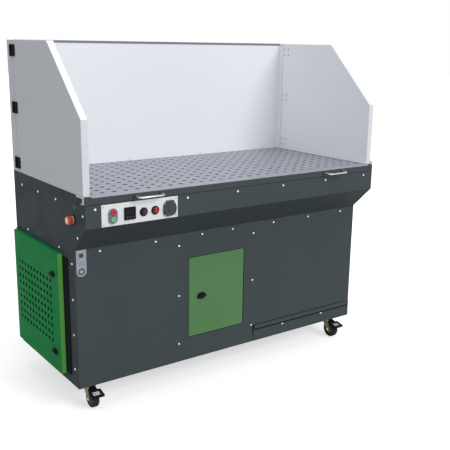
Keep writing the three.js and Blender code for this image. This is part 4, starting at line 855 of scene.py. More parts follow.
def side_door():
    xs, ys, (low, high) = spans("side_door")
    low, high = low + DOOR.pin, high - DOOR.pin
    us = steps_between(ys[0] + VENT.front, ys[1] - VENT.rear, VENT.columns)
    vs = steps_between(low + VENT.foot, high - VENT.top, VENT.rows)

    def slot(i, j):
        if not (1 <= i <= VENT.columns and 1 <= j <= VENT.rows):
            return None
        points = tile(middles(us[i - 1:i + 1], vs[j - 1:j + 1]), VENT.slot, VENT.corner, VENT.steps)
        cut = VENT.steps // 2 + 1
        return points[-cut:] + points[:-cut]

    shape = Shape(SIDE_GREEN)
    span = (xs[0], xs[0] + DOOR.skin)
    shape.sheet("x", [ys[0], *us, ys[1]], [low, *vs, high], span, slot, (-DOOR.clear, DOOR.skin))
    # The return's faces take the painted-light green.
    shape.use(SUNLIT_GREEN)
    for face in shape.bm.faces:
        if all(corner.co.y - ys[0] < DOOR.skin / 2 for corner in face.verts):
            face.material_index = shape.index
    shape.use(SATIN_STEEL)
    for span in ((low - DOOR.pin, low + 1), (high - 1, high + DOOR.pin)):
        shape.rod("z", (-DOOR.pin_out, ys[1] - DOOR.pin_from_rear), DOOR.pin_radius, span, 20)
    shape.piece("side_door_pan", "side_door", "side_green", ["side_door"], bevel=0.9)


def latch(node, axis, way):
    """A quarter-turn latch: an oval knob with its grip, the shaft and the cam behind the sheet. The cam
    points up where way is 1 and down where it is -1."""
    xs, ys, zs = spans(node)
    (front, end), across = (xs, ys) if axis == "x" else (ys, xs)
    centre_z = zs[0] + LATCH.knob[1] if way > 0 else zs[1] - LATCH.knob[1]
    centre = (middle(across), centre_z)
    back = front + LATCH.depth
    rim = back - LATCH.base
    shape = Shape(BLACK_PLASTIC)

    def ovals(half, squareness, layers):
        sized = ((along, (half[0] * share, half[1] * share)) for along, share in layers)
        shape.stack(axis, [(along, oval(centre, size, squareness)) for along, size in sized])

    ovals(LATCH.knob, 1, [(back, 1), *((rim + up, share) for up, share in LATCH.knob_layers)])
    grip = [(rim + LATCH.grip_lap, 1), *((front + up, share) for up, share in LATCH.grip_layers)]
    ovals(LATCH.grip, LATCH.grip_shape, grip)
    shape.use(SCREW_STEEL)
    shape.rod(axis, centre, LATCH.shaft, (back - LATCH.shaft_lap, end - LATCH.cam), 20)
    cam_z = (centre_z - LATCH.cam_half, zs[1]) if way > 0 else (zs[0], centre_z + LATCH.cam_half)
    cam = rounded(about(centre[0], LATCH.cam_half), cam_z, LATCH.cam_corner)
    shape.prism(axis, cam, (end - LATCH.cam, end))
    hex_nut(shape, axis, 1, centre, end, *LATCH.nut)
    shape.piece(node + "_turn", node, "black_plastic", [node], bevel=0.5)


# The apron is painted shade in front of the side door; the front strips paint the shade in the front door's
# gap.
SEALS_AND_SHADE = Sizes(apron=50, width=8, depth=3.4, lap=17, corners=(6, 2), lining=1.2, front=(0.4, 8), gap=(3, 4),
             front_corners=(0.5, 0.4))
DRAWER_GAP_SHADE = Sizes(width=6, sheet=0.8, end=48, clear=1, height=2)


def seals_and_gap_shade():
    """Dark rubber round the two door openings, and above and beside the drawer's front. Round the side door
    it is a gasket, widened by an apron of painted shade in front of the door; in the front door's gap and
    along the drawer's front it is painted shade.
    """
    _, ys, zs = spans("side_door")
    ys, zs = grown(ys, -SEALS_AND_SHADE.lap), grown(zs, -DOOR.pin - SEALS_AND_SHADE.lap)
    # The apron is painted shade: a dark band in front of the side door's front edge.
    outer_y = (ys[0] - SEALS_AND_SHADE.lap - SEALS_AND_SHADE.apron, ys[1] + SEALS_AND_SHADE.width)
    outer = rounded(outer_y, grown(zs, SEALS_AND_SHADE.width), SEALS_AND_SHADE.corners[0])
    shape = Shape(GASKET_AND_SHADE)
    shape.plate("x", outer, [rounded(ys, zs, SEALS_AND_SHADE.corners[1])], (-SEALS_AND_SHADE.depth, 0))
    shape.piece("side_door_seal_and_shade", CABINET, "black_plastic", bevel=0.6)

    # Painted shade: a dark strip down the front door's gap.
    xs, _, zs = spans("front_door")
    xs = (xs[0] - SEALS_AND_SHADE.gap[0], xs[1] + SEALS_AND_SHADE.gap[1])
    zs = grown(zs, SEALS_AND_SHADE.gap[0] - DOOR.pin)
    outer, inner = (rounded(grown(xs, -by), grown(zs, -by), corner)
                    for by, corner in zip((0, SEALS_AND_SHADE.lining), SEALS_AND_SHADE.front_corners))
    shape = Shape(GASKET_AND_SHADE)
    shape.plate("y", outer, [inner], [SETBACK + y for y in SEALS_AND_SHADE.front])
    shape.piece("front_door_gap_shade", CABINET, "black_plastic", bevel=0)

    # Painted shade: dark strips above and beside the drawer's front, in its gap.
    (left, right), _, (_, top) = spans("dust_drawer")
    edge, depth = top + DRAWER_GAP_SHADE.clear, (SETBACK - DRAWER_GAP_SHADE.sheet, SETBACK)
    shape = Shape(GASKET_AND_SHADE)
    shape.box((left - DRAWER_GAP_SHADE.width, right - DRAWER_GAP_SHADE.end), depth, (edge, edge + DRAWER_GAP_SHADE.height))
    shape.box((left - DRAWER_GAP_SHADE.width, left - DRAWER_GAP_SHADE.clear), depth, (top - DRAWER_GAP_SHADE.end, edge))
    shape.piece("drawer_gap_shade", CABINET, "black_plastic", bevel=0.2)


# Control panel

KEY = Sizes(radius=11, clear=0.6, cap=((11, 0.9), (10.1, 0), (7.92, 0), (5.5, 0.66), (0, 1.1)))
KEYS = (("stop_button", RED_PLASTIC, "red_plastic"), ("start_button", GREEN_PLASTIC, "green_plastic"))
BEZEL_FOOT = (15, 27)


def twin_button():
    xs, ys, zs = spans("twin_button_bezel")
    centre = middles(xs, zs)
    places = {node: (centre[0], middle(spans(node)[2])) for node, _, _ in KEYS}
    wells = [circle(place, KEY.radius + KEY.clear, 40) for place in places.values()]
    shape = Shape(GREY_PLASTIC)
    shape.plate("y", stadium(centre, ((xs[1] - xs[0]) / 2, (zs[1] - zs[0]) / 2)), wells, (ys[0], DEVICE))
    shape.use(BLACK_PLASTIC)
    shape.prism("y", stadium(centre, BEZEL_FOOT), (DEVICE - 1, DEVICE))
    shape.piece("twin_button_housing", CABINET, "grey_plastic", ["twin_button_bezel"], bevel=1.4)
    for node, finish, slot in KEYS:
        front, back = spans(node)[1]
        key = Shape(finish)
        profile = [(0, back - front), (KEY.radius, back - front), *KEY.cap]
        key.lathe("y", places[node], profile, 40, at=front)
        key.piece(node + "_cap", node, slot, [node], bevel=0)


METER = Sizes(corners=(2.5, 2, 1), inset=1.28, step=2.4, pane=(18.5, 9), pane_up=6, pane_corner=1.5,
              key=(3.2, 2.4), key_hole=(3.6, 2.8), keys=(-14.4, -4.8, 4.8, 14.4), key_drop=13, body_inset=2,
              dash=(2.6, 0.5), dashes=(-9, 0, 9), key_corners=(1, 0.8), dash_corner=0.4, lap=0.2,
              recess=0.5, pane_depth=1.2, dash_depths=(1.05, 1.3))


def panel_meter():
    """A square digital meter, its window blank but for three dim dashes."""
    xs, ys, zs = spans("panel_meter")
    front, back = ys[0], ys[0] + METER.step
    x, z = middles(xs, zs)
    case, rim, body = METER.corners
    pane_at = (x, z + METER.pane_up)
    pane = tile(pane_at, METER.pane, METER.pane_corner)
    keys = [(x + offset, z - METER.key_drop) for offset in METER.keys]
    shape = Shape(BLACK_PLASTIC)
    shape.prism("y", rounded(xs, zs, case), (back, DEVICE))
    hole_corner, key_corner = METER.key_corners
    holes = [pane, *(tile(place, METER.key_hole, hole_corner) for place in keys)]
    outline = rounded(grown(xs, -METER.inset), grown(zs, -METER.inset), rim)
    shape.plate("y", outline, holes, (front, back + METER.lap))
    shape.use(DARK_PLASTIC)
    for place in keys:
        shape.prism("y", tile(place, METER.key, key_corner), (front + METER.recess, back + METER.recess))
    shape.use(WINDOW)
    shape.prism("y", pane, (front + METER.pane_depth, back + METER.recess))
    shape.use(DARK_PLASTIC)
    for offset in METER.dashes:
        dash = tile((x + offset, pane_at[1]), METER.dash, METER.dash_corner)
        shape.prism("y", dash, [front + depth for depth in METER.dash_depths])
    shape.use(BLACK_PLASTIC)
    outline = rounded(grown(xs, -METER.body_inset), grown(zs, -METER.body_inset), body)
    shape.prism("y", outline, (DEVICE, ys[1]))
    shape.piece("panel_meter_case", CABINET, "black_plastic", ["panel_meter"], bevel=0.35)


# The bezel's profile is counted from its rim; the lens has places, radii and depths of its ribs
LAMP = Sizes(bezel=((0, 1), (12.8, 1), (13, 0), (16, 0), (17, 1.4), (17, 4.5), (11, 4.5)), depth=4.5, neck=11,
             ribs=36, foot=(1.1, 12.6, 0.5),
             dome=((3.8, 12.2, 0.5), (2.6, 11.4, 0), (1.1, 9.828, 0), (0.3, 6.3, 0), (0, 2.52, 0)))


def lamp(node, finish, slot):
    """A pilot lamp: a black bezel round a ribbed lens with a smooth dome."""
    xs, (front, end), zs = spans(node)
    centre = middles(xs, zs)
    rim = DEVICE - LAMP.depth
    shape = Shape(BLACK_PLASTIC)
    shape.lathe("y", centre, [*LAMP.bezel, (LAMP.neck, end - rim), (0, end - rim)], 48, at=rim)
    shape.use(finish)
    up, radius, depth = LAMP.foot
    rings = [(rim + up, radius, depth), *((front + up, radius, depth) for up, radius, depth in LAMP.dome)]
    shape.stack("y", [(along, star(centre, [r, r - d] * LAMP.ribs)) for along, r, d in rings])
    shape.piece(node + "_lens", CABINET, slot, [node], bevel=0)


# The sleeve is counted from the well's bottom and the lid from its front
SOCKET = Sizes(corner=13, well=19, wall=3, well_depth=16, contacts=5, contact_ring=11, lid=27.5, lid_depth=6,
               sleeve=((2.6, 0.5), (2.6, -9), (1.6, -9), (1.6, -1), (0, -1), (0, 0.5)),
               lip=0.6, lap=0.5, lid_edge=1, strap_lap=(1, 3), tongue=(1, 0.8), strap=10, ear=5,
               knuckle=4, pin=2, pin_end=0.8, bore=2.4, screw_inset=6, screw=0.5,
               disc=((27.5, 1.5), (26, 0), (22.5, 0), (21, 1.4), (14, 1.4), (12, -1.5), (10.5, -3), (8, -3),
                     (7, -1.8), (0, -1.8)),
               lid_screw=(8.25, 21.5))


def socket_parts():
    xs, ys, zs = spans("socket_outlet")
    lid_back = spans("socket_lid")[1][1]
    flange_z = (zs[0], zs[0] + xs[1] - xs[0])
    centre = middles(xs, flange_z)
    face = lid_back + SEAT
    hinge = (lid_back - SOCKET.knuckle + SEAT, zs[1] - SOCKET.knuckle)
    # The housing's lighter grey is painted light on its lit side.
    shape = Shape(LIT_SOCKET_GREY)
    well, wall = SOCKET.well, SOCKET.well + SOCKET.wall
    shape.plate("y", rounded(xs, flange_z, SOCKET.corner, 6), [circle(centre, well, 40)], (face, DEVICE))
    bottom = face + SOCKET.well_depth
    lip, lap, floor = face + SOCKET.lip, SOCKET.lap, bottom + SOCKET.wall
    cup = [(well, lip), (well, bottom), (0, bottom), (0, floor), (wall, floor), (wall, DEVICE - lap),
           (well + lap, DEVICE - lap), (well + lap, lip)]
    shape.lathe("y", centre, cup, 40, looped=True)
    shape.use(BRASS)
    for place in circle(centre, SOCKET.contact_ring, SOCKET.contacts, TURN / 4):
        shape.lathe("y", place, SOCKET.sleeve, 16, at=bottom)
    shape.use(DARK_PLASTIC)
    strap = about(centre[0], SOCKET.strap)
    for way in (-1, 1):
        ear = sorted(centre[0] + way * (SOCKET.strap + out) for out in (SEAT, SOCKET.ear))
        shape.rod("x", hinge, SOCKET.knuckle, ear)
        shape.box(ear, (hinge[0], DEVICE), about(hinge[1], SOCKET.knuckle))
    back, down = SOCKET.strap_lap
    shape.box(strap, (face + back, DEVICE), (flange_z[1] - down, zs[1]))
    shape.use(SATIN_STEEL)
    shape.rod("x", hinge, SOCKET.pin, grown(strap, SOCKET.ear + SOCKET.pin_end), 16)
    for place in four_corners(xs, flange_z, SOCKET.screw_inset):
        screw(shape, "y", -1, place, face, SOCKET.screw)
    shape.piece("socket_housing", CABINET, "black_plastic", ["socket_outlet"], bevel=0.6)

    lid = Shape(DARK_PLASTIC)
    radius, depth, edge = SOCKET.lid, SOCKET.lid_depth, SOCKET.lid_edge
    front = lid_back - depth
    disc = [(0, depth), (radius - edge, depth), (radius, depth - edge), *SOCKET.disc]
    lid.lathe("y", centre, disc, 56, at=front)
    corner, step = SOCKET.tongue
    lid.prism("y", rounded(strap, (centre[1], hinge[1]), corner), (front + step, lid_back))
    lid.ring("x", hinge, (SOCKET.bore, SOCKET.knuckle), strap, 24)
    lid.use(GREY_PLASTIC)
    right, up = SOCKET.lid_screw
    screw(lid, "y", -1, (centre[0] + right, centre[1] + up), front, SOCKET.screw)
    lid.piece("socket_lid_cover", "socket_lid", "black_plastic", ["socket_lid"], bevel=0.4)


# Radii and places along x, which the cap counts from its face
ESTOP = Sizes(rings=((15, -8, -3, PALE_YELLOW), (19.5, -3, -SEAT, BLACK_PLASTIC)), mouth=(6, -8), edge=1.5,
              neck=12, plunger=(11, 5), cap=16.6, wall=1, skirt=-10.4, ceiling=-14.4, grips=24,
              flutes=((16.6, 6, 0.7), (16, 2.5, 0.4), (14.2, 0.5, 0), (13.9, 0, 0), (13.4, 0.8, 0)),
              insert=((0, 0.2), (12.4, 0.2), (13.1, 0.9), (0, 0.9)))


def emergency_stop():
    """A mushroom button on a pale yellow collar, its cap fluted round the edge."""
    xs, ys, zs = spans("estop_button")
    centre, face = middles(ys, zs), xs[0]
    neck_end = spans("estop_collar")[0][1]
    bore, mouth = ESTOP.mouth
    collar = Shape(PALE_YELLOW)
    for radius, out, foot, finish in ESTOP.rings:
        collar.use(finish)
        edge = ESTOP.edge
        profile = [(bore, out), (radius - edge, out), (radius, out + edge), (radius, foot), (bore, foot)]
        collar.lathe("x", centre, profile, 48, True)
    collar.use(BLACK_PLASTIC)
    inside, plunger = ESTOP.plunger
    neck = [(bore, mouth), (ESTOP.neck, mouth), (ESTOP.neck, -SEAT), (inside, -SEAT), (inside, neck_end),
            (bore, neck_end)]
    collar.lathe("x", centre, neck, 40, True)
    collar.piece("emergency_stop_collar", CABINET, "yellow_plastic", ["estop_collar"], bevel=0.4)

    def ring(radius, along, flute=0.0):
        outline = star(centre, [radius - flute, radius, radius, radius] * ESTOP.grips)
        return [spot("x", a, b, along) for a, b in outline]

    inner, ceiling = ESTOP.cap - ESTOP.wall, ESTOP.ceiling
    cap = Shape(STOP_RED)
    rings = [[spot("x", *centre, ceiling)], ring(inner, ceiling), ring(inner, ESTOP.skirt),
             ring(ESTOP.cap, ESTOP.skirt, 0.4)]
    rings += [ring(radius, face + along, flute) for radius, along, flute in ESTOP.flutes]
    cap.skin([*rings, [spot("x", *centre, face + ESTOP.flutes[-1][1])]])
    cap.rod("x", centre, plunger, (ceiling, xs[1]), 20)
    cap.use(PALE_YELLOW)
    cap.lathe("x", centre, ESTOP.insert, 40, at=face)
    cap.piece("emergency_stop_cap", "estop_button", "red_plastic", ["estop_button"], bevel=0)


# Small plates and fittings

TAG = Sizes(left=6, right=48, top=224, foot=332, sheet=0.9, square=(8.5, 8.5), square_drop=22, relief=0.3,
            ring=(8.5, 13.5), ring_relief=0.5, dot=2, dots=(-9, 0, 9), dot_drops=(50, 59))


def front_tag():
    """A bare rating plate with a round foot: a blank square, six dots and a ring."""
    top = TOP - TAG.top
    x, half = middle((TAG.left, TAG.right)), (TAG.right - TAG.left) / 2
    low = TOP - TAG.foot + half
    face = SETBACK - TAG.sheet
    shape = Shape(PALE_PLASTIC)
    outline = [(TAG.left, top), *arc((x, low), half, TURN / 2, TURN, 20), (TAG.right, top)]
    shape.prism("y", outline, (face, SETBACK))
    shape.use(DARK_PLASTIC)
    shape.prism("y", tile((x, top - TAG.square_drop), TAG.square, 1.5), (face - TAG.relief, face))
    for offset in TAG.dots:
        for drop in TAG.dot_drops:
            shape.rod("y", (x + offset, top - drop), TAG.dot, (face, face - TAG.relief), 12)
    shape.ring("y", (x, low), TAG.ring, (face, face - TAG.ring_relief))
    shape.piece("front_tag", CABINET, "plate_white", bevel=0.15)


KEEPER = Sizes(ys=(26, 62), zs=(-22.5, -6.6), out=3.8, corner=3, plug=(71.5, -34),
               plug_profile=((0, 0), (4, 0), (4, -0.8), (2.6, -1), (2.2, -0.4), (0, -0.4)),
               disc=(88.6, -51.8), disc_profile=((0, 0), (7.5, 0), (7.5, -2), (6.3, -3), (0, -3)),
               key=(-3.3, -2.5), key_half=(5, 0.9))


def wing_keepers():
    """On each side the black keeper behind the wing's hook, a cam lock and a plugged hole."""
    for side in SIDES:
        shape = Shape(BLACK_PLASTIC)
        zs = [TOP + z for z in KEEPER.zs]
        shape.prism("x", rounded(KEEPER.ys, zs, KEEPER.corner), (-KEEPER.out, 0))
        shape.lathe("x", (KEEPER.plug[0], TOP + KEEPER.plug[1]), KEEPER.plug_profile, 24)
        shape.use(FAN_GREY)
        y, z = KEEPER.disc[0], TOP + KEEPER.disc[1]
        shape.lathe("x", (y, z), KEEPER.disc_profile, 32)
        shape.use(BLACK_PLASTIC)
        shape.box(KEEPER.key, about(y, KEEPER.key_half[0]), about(z, KEEPER.key_half[1]))
        if side == "right":
            shape.mirror()
        shape.piece(f"{side}_wing_keeper", CABINET, "black_plastic", bevel=0.5)


SKIRT = Sizes(left=2.5, height=38, sheet=0.6, clear=3)


def lower_skirt():
    """The folded lower edge that overlaps the front panel's foot."""
    low = spans("lower_front_panel")[2][0]
    right = spans("dust_drawer")[0][0] - SKIRT.clear
    shape = Shape(ANTHRACITE)
    shape.box((SKIRT.left, right), (SETBACK - SKIRT.sheet, SETBACK), (low, low + SKIRT.height))
    shape.piece("front_lower_skirt", CABINET, "anthracite", bevel=0.25)


# Nuts have places and radii; the dome's profile is counted from its outer end
GLAND = Sizes(outer=((SEAT, 13), (4.6, 13), (5.3, 12)), inner=13, bore=6.5, plug=3, foot=5,
              dome=((6.5, -0.8), (7.5, 0), (9, -1), (10, -6)))


def cable_gland():
    xs, (low, high), zs = spans("cable_gland")
    centre = middles(xs, zs)
    shape = Shape(BLACK_PLASTIC)
    shape.stack("y", [(DEPTH + y, circle(centre, radius, 6)) for y, radius in GLAND.outer])
    foot = DEPTH + GLAND.foot - high
    dome = [*GLAND.dome, (GLAND.dome[-1][0], foot), (GLAND.bore, foot)]
    shape.lathe("y", centre, dome, looped=True, at=high)
    shape.use(GASKET_AND_SHADE)
    shape.rod("y", centre, GLAND.bore, (high - GLAND.plug, low), 30)
    shape.use(BLACK_PLASTIC)
    shape.prism("y", circle(centre, GLAND.inner, 6), (low, DEPTH - DOOR.skin - SEAT))
    shape.piece("cable_gland_body", CABINET, "black_plastic", ["cable_gland"], bevel=0.4)


# Filters and fan

# The far cap's recess is counted from its rim, and its hub from the axis
CARTRIDGE = Sizes(pleats=96, pleat=15, cap=12, step=7, lap=4, bore=65, bands=3, band_inset=60, band=6,
                  band_radii=(-0.5, 0.8), edge=1, lip=1.2, recess=((-12, 0), (-16, -3)),
                  hub=((20, -3), (16, 0), (0, 0)))


def filter_cartridge(place):
    node = f"filter_cartridge_{place}"
    (near, far), ys, zs = spans(node)
    centre = middles(ys, zs)
    outer, cap, bore = (ys[1] - ys[0]) / 2 + CARTRIDGE.lap, CARTRIDGE.cap, CARTRIDGE.bore
    flange = outer - CARTRIDGE.step
    pleated = star(centre, [flange, flange - CARTRIDGE.pleat] * CARTRIDGE.pleats)
    core = circle(centre, bore, len(pleated))
    edge, lip = CARTRIDGE.edge, outer - CARTRIDGE.lip
    start, end = near + cap - edge, far - cap + edge
    shape = Shape(PAPER)
    rings = [(pleated, start), (pleated, end), (core, end), (core, start)]
    shape.skin([[spot("x", a, b, x) for a, b in outline] for outline, x in rings], looped=True)
    shape.use(GALVANISED)
    near_cap = [(bore, 0), (outer - edge, 0), (outer, edge), (outer, cap), (lip, cap), (bore, cap)]
    shape.lathe("x", centre, near_cap, 64, looped=True, at=near)
    recess = [(outer + off, along) for off, along in CARTRIDGE.recess]
    far_cap = [(0, -cap), (lip, -cap), (outer, -cap), (outer, -edge), (outer - edge, 0), *recess,
               *CARTRIDGE.hub]
    shape.lathe("x", centre, far_cap, 64, at=far)
    shape.use(SATIN_STEEL)
    for x in steps_between(start + CARTRIDGE.band_inset, end - CARTRIDGE.band_inset, CARTRIDGE.bands):
        radii = [flange + off for off in CARTRIDGE.band_radii]
        shape.ring("x", centre, radii, about(x, CARTRIDGE.band), 64)
    shape.piece(node + "_pleats", CABINET, "filter_paper", [node], bevel=0)


FAN_AT = middles(*spans("fan_impeller")[1:])
# The flange is counted from the motor's face, the cowl from its rear end and the shaft from its tip
MOTOR = Sizes(body=81, fins=30, fin=((0, 7), (0.3, 7), (0.38, 0), (0.62, 0), (0.7, 7)), reach=90, plate=10,
              flange=((0, -10), (84, -16), (96, -10), (100, -8), (100, 0), (0, 0)), cowl_length=36,
              cowl=((0, 4), (12, 4), (14, 1), (22, 1), (24, 4), (36, 4), (38, 1), (46, 1), (48, 4), (58, 4),
                    (62, 0), (78, 0), (86, 8), (86, 40), (0, 40)),
              shaft=((0, -90), (12, -90), (12, -1), (11, 0), (0, 0)), nut_ring=91, nut=(7, 7))
TERMINAL = Sizes(half=38, length=80, inset=40, foot=60, corner=6,
                 layers=((-12, 0), (-10, 0.5), (-1, 0.5), (0, -2)))


def fan_motor():
    xs, _, zs = spans("fan_motor")
    face = xs[1] - MOTOR.reach
    body = (xs[0] + MOTOR.cowl_length, face - MOTOR.plate)
    shape = Shape(CAST_GREY)
    finned = [polar(FAN_AT, MOTOR.body - depth, (i + share) * TURN / MOTOR.fins)
              for i in range(MOTOR.fins) for share, depth in MOTOR.fin]
    shape.prism("x", finned, body)
    shape.lathe("x", FAN_AT, MOTOR.flange, 64, at=face)
    shape.lathe("x", FAN_AT, MOTOR.cowl, 64, at=xs[0])
    box_x = (body[1] - TERMINAL.inset - TERMINAL.length, body[1] - TERMINAL.inset)
    box_y = about(FAN_AT[0], TERMINAL.half)
    layers = [(FAN_AT[1] + TERMINAL.foot, 0), *((zs[1] + up, by) for up, by in TERMINAL.layers)]
    shape.stack("z", [(z, rounded(grown(box_x, by), grown(box_y, by), TERMINAL.corner)) for z, by in layers])
    shape.use(SCREW_STEEL)
    for place in circle(FAN_AT, MOTOR.nut_ring, 4, TURN / 8):
        hex_nut(shape, "x", -1, place, face - MOTOR.plate + 1, *MOTOR.nut)
    shape.use(SATIN_STEEL)
    shape.lathe("x", FAN_AT, MOTOR.shaft, 28, at=xs[1])
    shape.piece("fan_motor_body", CABINET, "grey_cast", ["fan_motor"], bevel=0.8)


IMPELLER = Sizes(disc=((12.3, 0), (158, 0), (158, 4), (26, 4), (26, 50), (12.3, 50)),
                 ring=((95, 0), (94, -2), (101, -4), (158, -6), (158, -2), (103, 0)),
                 blades=10, blade=3, root=95, tip=154, sweep=0.5, curve=1.4, lap=1, plate=4, steps=8)


def fan_impeller():
    back, front = spans("fan_impeller")[0]
    shape = Shape(GALVANISED)
    for profile, at in ((IMPELLER.disc, back), (IMPELLER.ring, front)):
        shape.lathe("x", FAN_AT, profile, 72, looped=True, at=at)
    for i in range(IMPELLER.blades):
        near, far = [], []
        for share in steps_between(0, 1, IMPELLER.steps):
            radius = IMPELLER.root + (IMPELLER.tip - IMPELLER.root) * share
            turn = TURN * i / IMPELLER.blades + IMPELLER.sweep * share ** IMPELLER.curve
            near.append(polar(FAN_AT, radius, turn))
            far.append(polar(FAN_AT, radius, turn + IMPELLER.blade / radius))
        shape.prism("x", near + far[::-1], (back + IMPELLER.plate - IMPELLER.lap, front - IMPELLER.plate))
    shape.piece("fan_impeller_wheel", "fan_impeller", "galvanised", ["fan_impeller"], bevel=0)


# Casters, all but their plates drawn round the swivel axis and then moved to their corner

CASTER = Sizes(trail=35, crown=21, leg_in=16, leg=3, corner=5, plate=4, holes=10, hole=(4.2, 5.2), head=25,
               washer=(6.5, 0.5, 0.8), nut=(5.4, 4), race=((5, 1), (3, -1.5)), race_foot=((0, 1.5), (-2, 0)))
FORK = Sizes(race=((0, -3), (9, -3), (10, 0), (0, 0)), eye=13, eye_turns=(168, 335), heel=(4, 33),
             corner=12, boss=7.5, boss_span=(0.5, 1), axle=5, axle_end=1, nut_at=0.8, nut=(6.4, 2.6),
             pin=2.5, pin_end=0.6, crown_corner=4, lap=0.4)
# Profiles of offset from the wheel's or the rim's radius and place along the axle; the hub's are radii
WHEEL = Sizes(tread=((-5, -13.6), (-1.5, -12.4), (0, -9), (0, -2.6), (-1.2, -2), (-1.2, 2), (0, 2.6), (0, 9),
                     (-1.5, 12.4), (-5, 13.6), (-9, 13.8), (-11, 11), (-11, -11), (-9, -13.8)),
              hub=((5.4, -14), (12, -14), (15, -10)), rim=11, web=((-3, -9), (0, -11.4), (0.4, 0)),
              spokes=6, root=13, tip=0.5, spoke=1.4, spoke_half=11)
PEDAL = Sizes(pivot=(-12, 89), half=27, near=52, far=98, fall=21, plate=3, arm=14, boss=(2.9, 5.5),
              window=((-18, 18), (-89, -59)), corners=(5, 3), tread=(19.5, -57, -90.5, -1.2, 1), ribs=4,
              rib_half=16, rib_at=-64, rib_step=7, rib_width=3, rib=(0.2, 1.6), arm_lap=3, arm_lift=1.5,
              flange=2.5)


def caster(corner):
    """One swivel caster; only the two front ones have a brake pedal."""
    plate_box = spans(f"{corner}_caster_plate")
    at = middles(*plate_box[:2])
    place = Matrix.Translation((*at, 0))
    caster_plate(corner, plate_box, at)
    crown_top = spans(f"{corner}_caster_fork")[2][1]
    axle_z = middle(spans(f"{corner}_wheel")[2])
    caster_fork(corner, place, crown_top, axle_z)
    caster_wheel(corner, place, axle_z)
    if corner.startswith("front"):
        brake_pedal(corner, place)


def caster_plate(corner, plate_box, at):
    xs, ys, (foot, top) = plate_box
    low = top - CASTER.plate
    places = four_corners(xs, ys, CASTER.holes)
    shape = Shape(ZINC)
    holes = [stadium(place, CASTER.hole, 6) for place in places]
    shape.plate("z", rounded(xs, ys, CASTER.corner), holes, (low, top))
    radius = CASTER.head
    race = [(radius + off, level + up) for level, points in ((low, CASTER.race), (foot, CASTER.race_foot))
            for off, up in points]
    shape.lathe("z", at, [(0, race[0][1]), *race, (0, foot)], 48)
    shape.use(SCREW_STEEL)
    washer, lap, drop = CASTER.washer
    for place in places:
        shape.rod("z", place, washer, (low + lap, low - drop))
        hex_nut(shape, "z", -1, place, low - drop, *CASTER.nut)
    shape.piece(f"{corner}_caster_top", CABINET, "zinc", [f"{corner}_caster_plate"], bevel=0.5)


def caster_fork(corner, place, top, axle_z):
    out, crown = CASTER.leg_in + CASTER.leg, CASTER.crown
    shape = Shape(ZINC)
    shape.prism("z", tile((0, 0), (out, crown), FORK.crown_corner), (top - CASTER.leg, top))
    shape.lathe("z", (0, 0), FORK.race, 30, at=top - CASTER.leg)
    axle = (-CASTER.trail, axle_z)
    eye = arc(axle, FORK.eye, *map(math.radians, FORK.eye_turns), 14)
    leg = [(crown, top - FORK.lap), (-crown, top - FORK.lap), *eye, (FORK.heel[0], axle_z + FORK.heel[1]),
           (crown, top - FORK.corner)]
    boss = circle(axle, FORK.boss, 20)
    for side in (-1, 1):
        shape.prism("x", leg, sorted((side * CASTER.leg_in, side * out)))
        shape.prism("x", boss, sorted((side * (out - FORK.boss_span[0]), side * (out + FORK.boss_span[1]))))
    shape.use(SCREW_STEEL)
    shape.rod("x", axle, FORK.axle, about(0, out + FORK.axle_end), 20)
    for way in (-1, 1):
        hex_nut(shape, "x", way, axle, way * (out + FORK.nut_at), *FORK.nut)
    if corner.startswith("front"):
        shape.rod("x", PEDAL.pivot, FORK.pin, about(0, out + FORK.pin_end), 16)
    shape.bm.transform(place)
    shape.piece(f"{corner}_caster_legs", f"{corner}_fork", "zinc", [f"{corner}_caster_fork"], bevel=0.7)


def caster_wheel(corner, place, axle_z):
    """A rubber tyre with grooves on a grey hub."""
    radius = axle_z + SEAT
    rim = radius - WHEEL.rim
    axle = (-CASTER.trail, axle_z)
    shape = Shape(RUBBER)
    shape.lathe("x", axle, [(radius + off, along) for off, along in WHEEL.tread], 72, looped=True)
    shape.use(DARK_PLASTIC)
    near = [*WHEEL.hub, *((rim + off, along) for off, along in WHEEL.web)]
    disc = near + [(out, -along) for out, along in near[-2::-1]]
    shape.lathe("x", axle, disc, 48, looped=True)
    for i in range(WHEEL.spokes):
        turn = TURN * i / WHEEL.spokes
        root, tip = polar(axle, WHEEL.root, turn), polar(axle, rim - WHEEL.tip, turn)
        across = polar((0, 0), WHEEL.spoke, turn + TURN / 4)
        rib = [(end[0] + way * across[0], end[1] + way * across[1])
               for end, way in ((root, 1), (root, -1), (tip, -1), (tip, 1))]
        shape.prism("x", rib, about(0, WHEEL.spoke_half))
    shape.bm.transform(place)
    shape.piece(f"{corner}_tyre", f"{corner}_wheel", "wheel_rubber", [f"{corner}_wheel"], bevel=0.4)


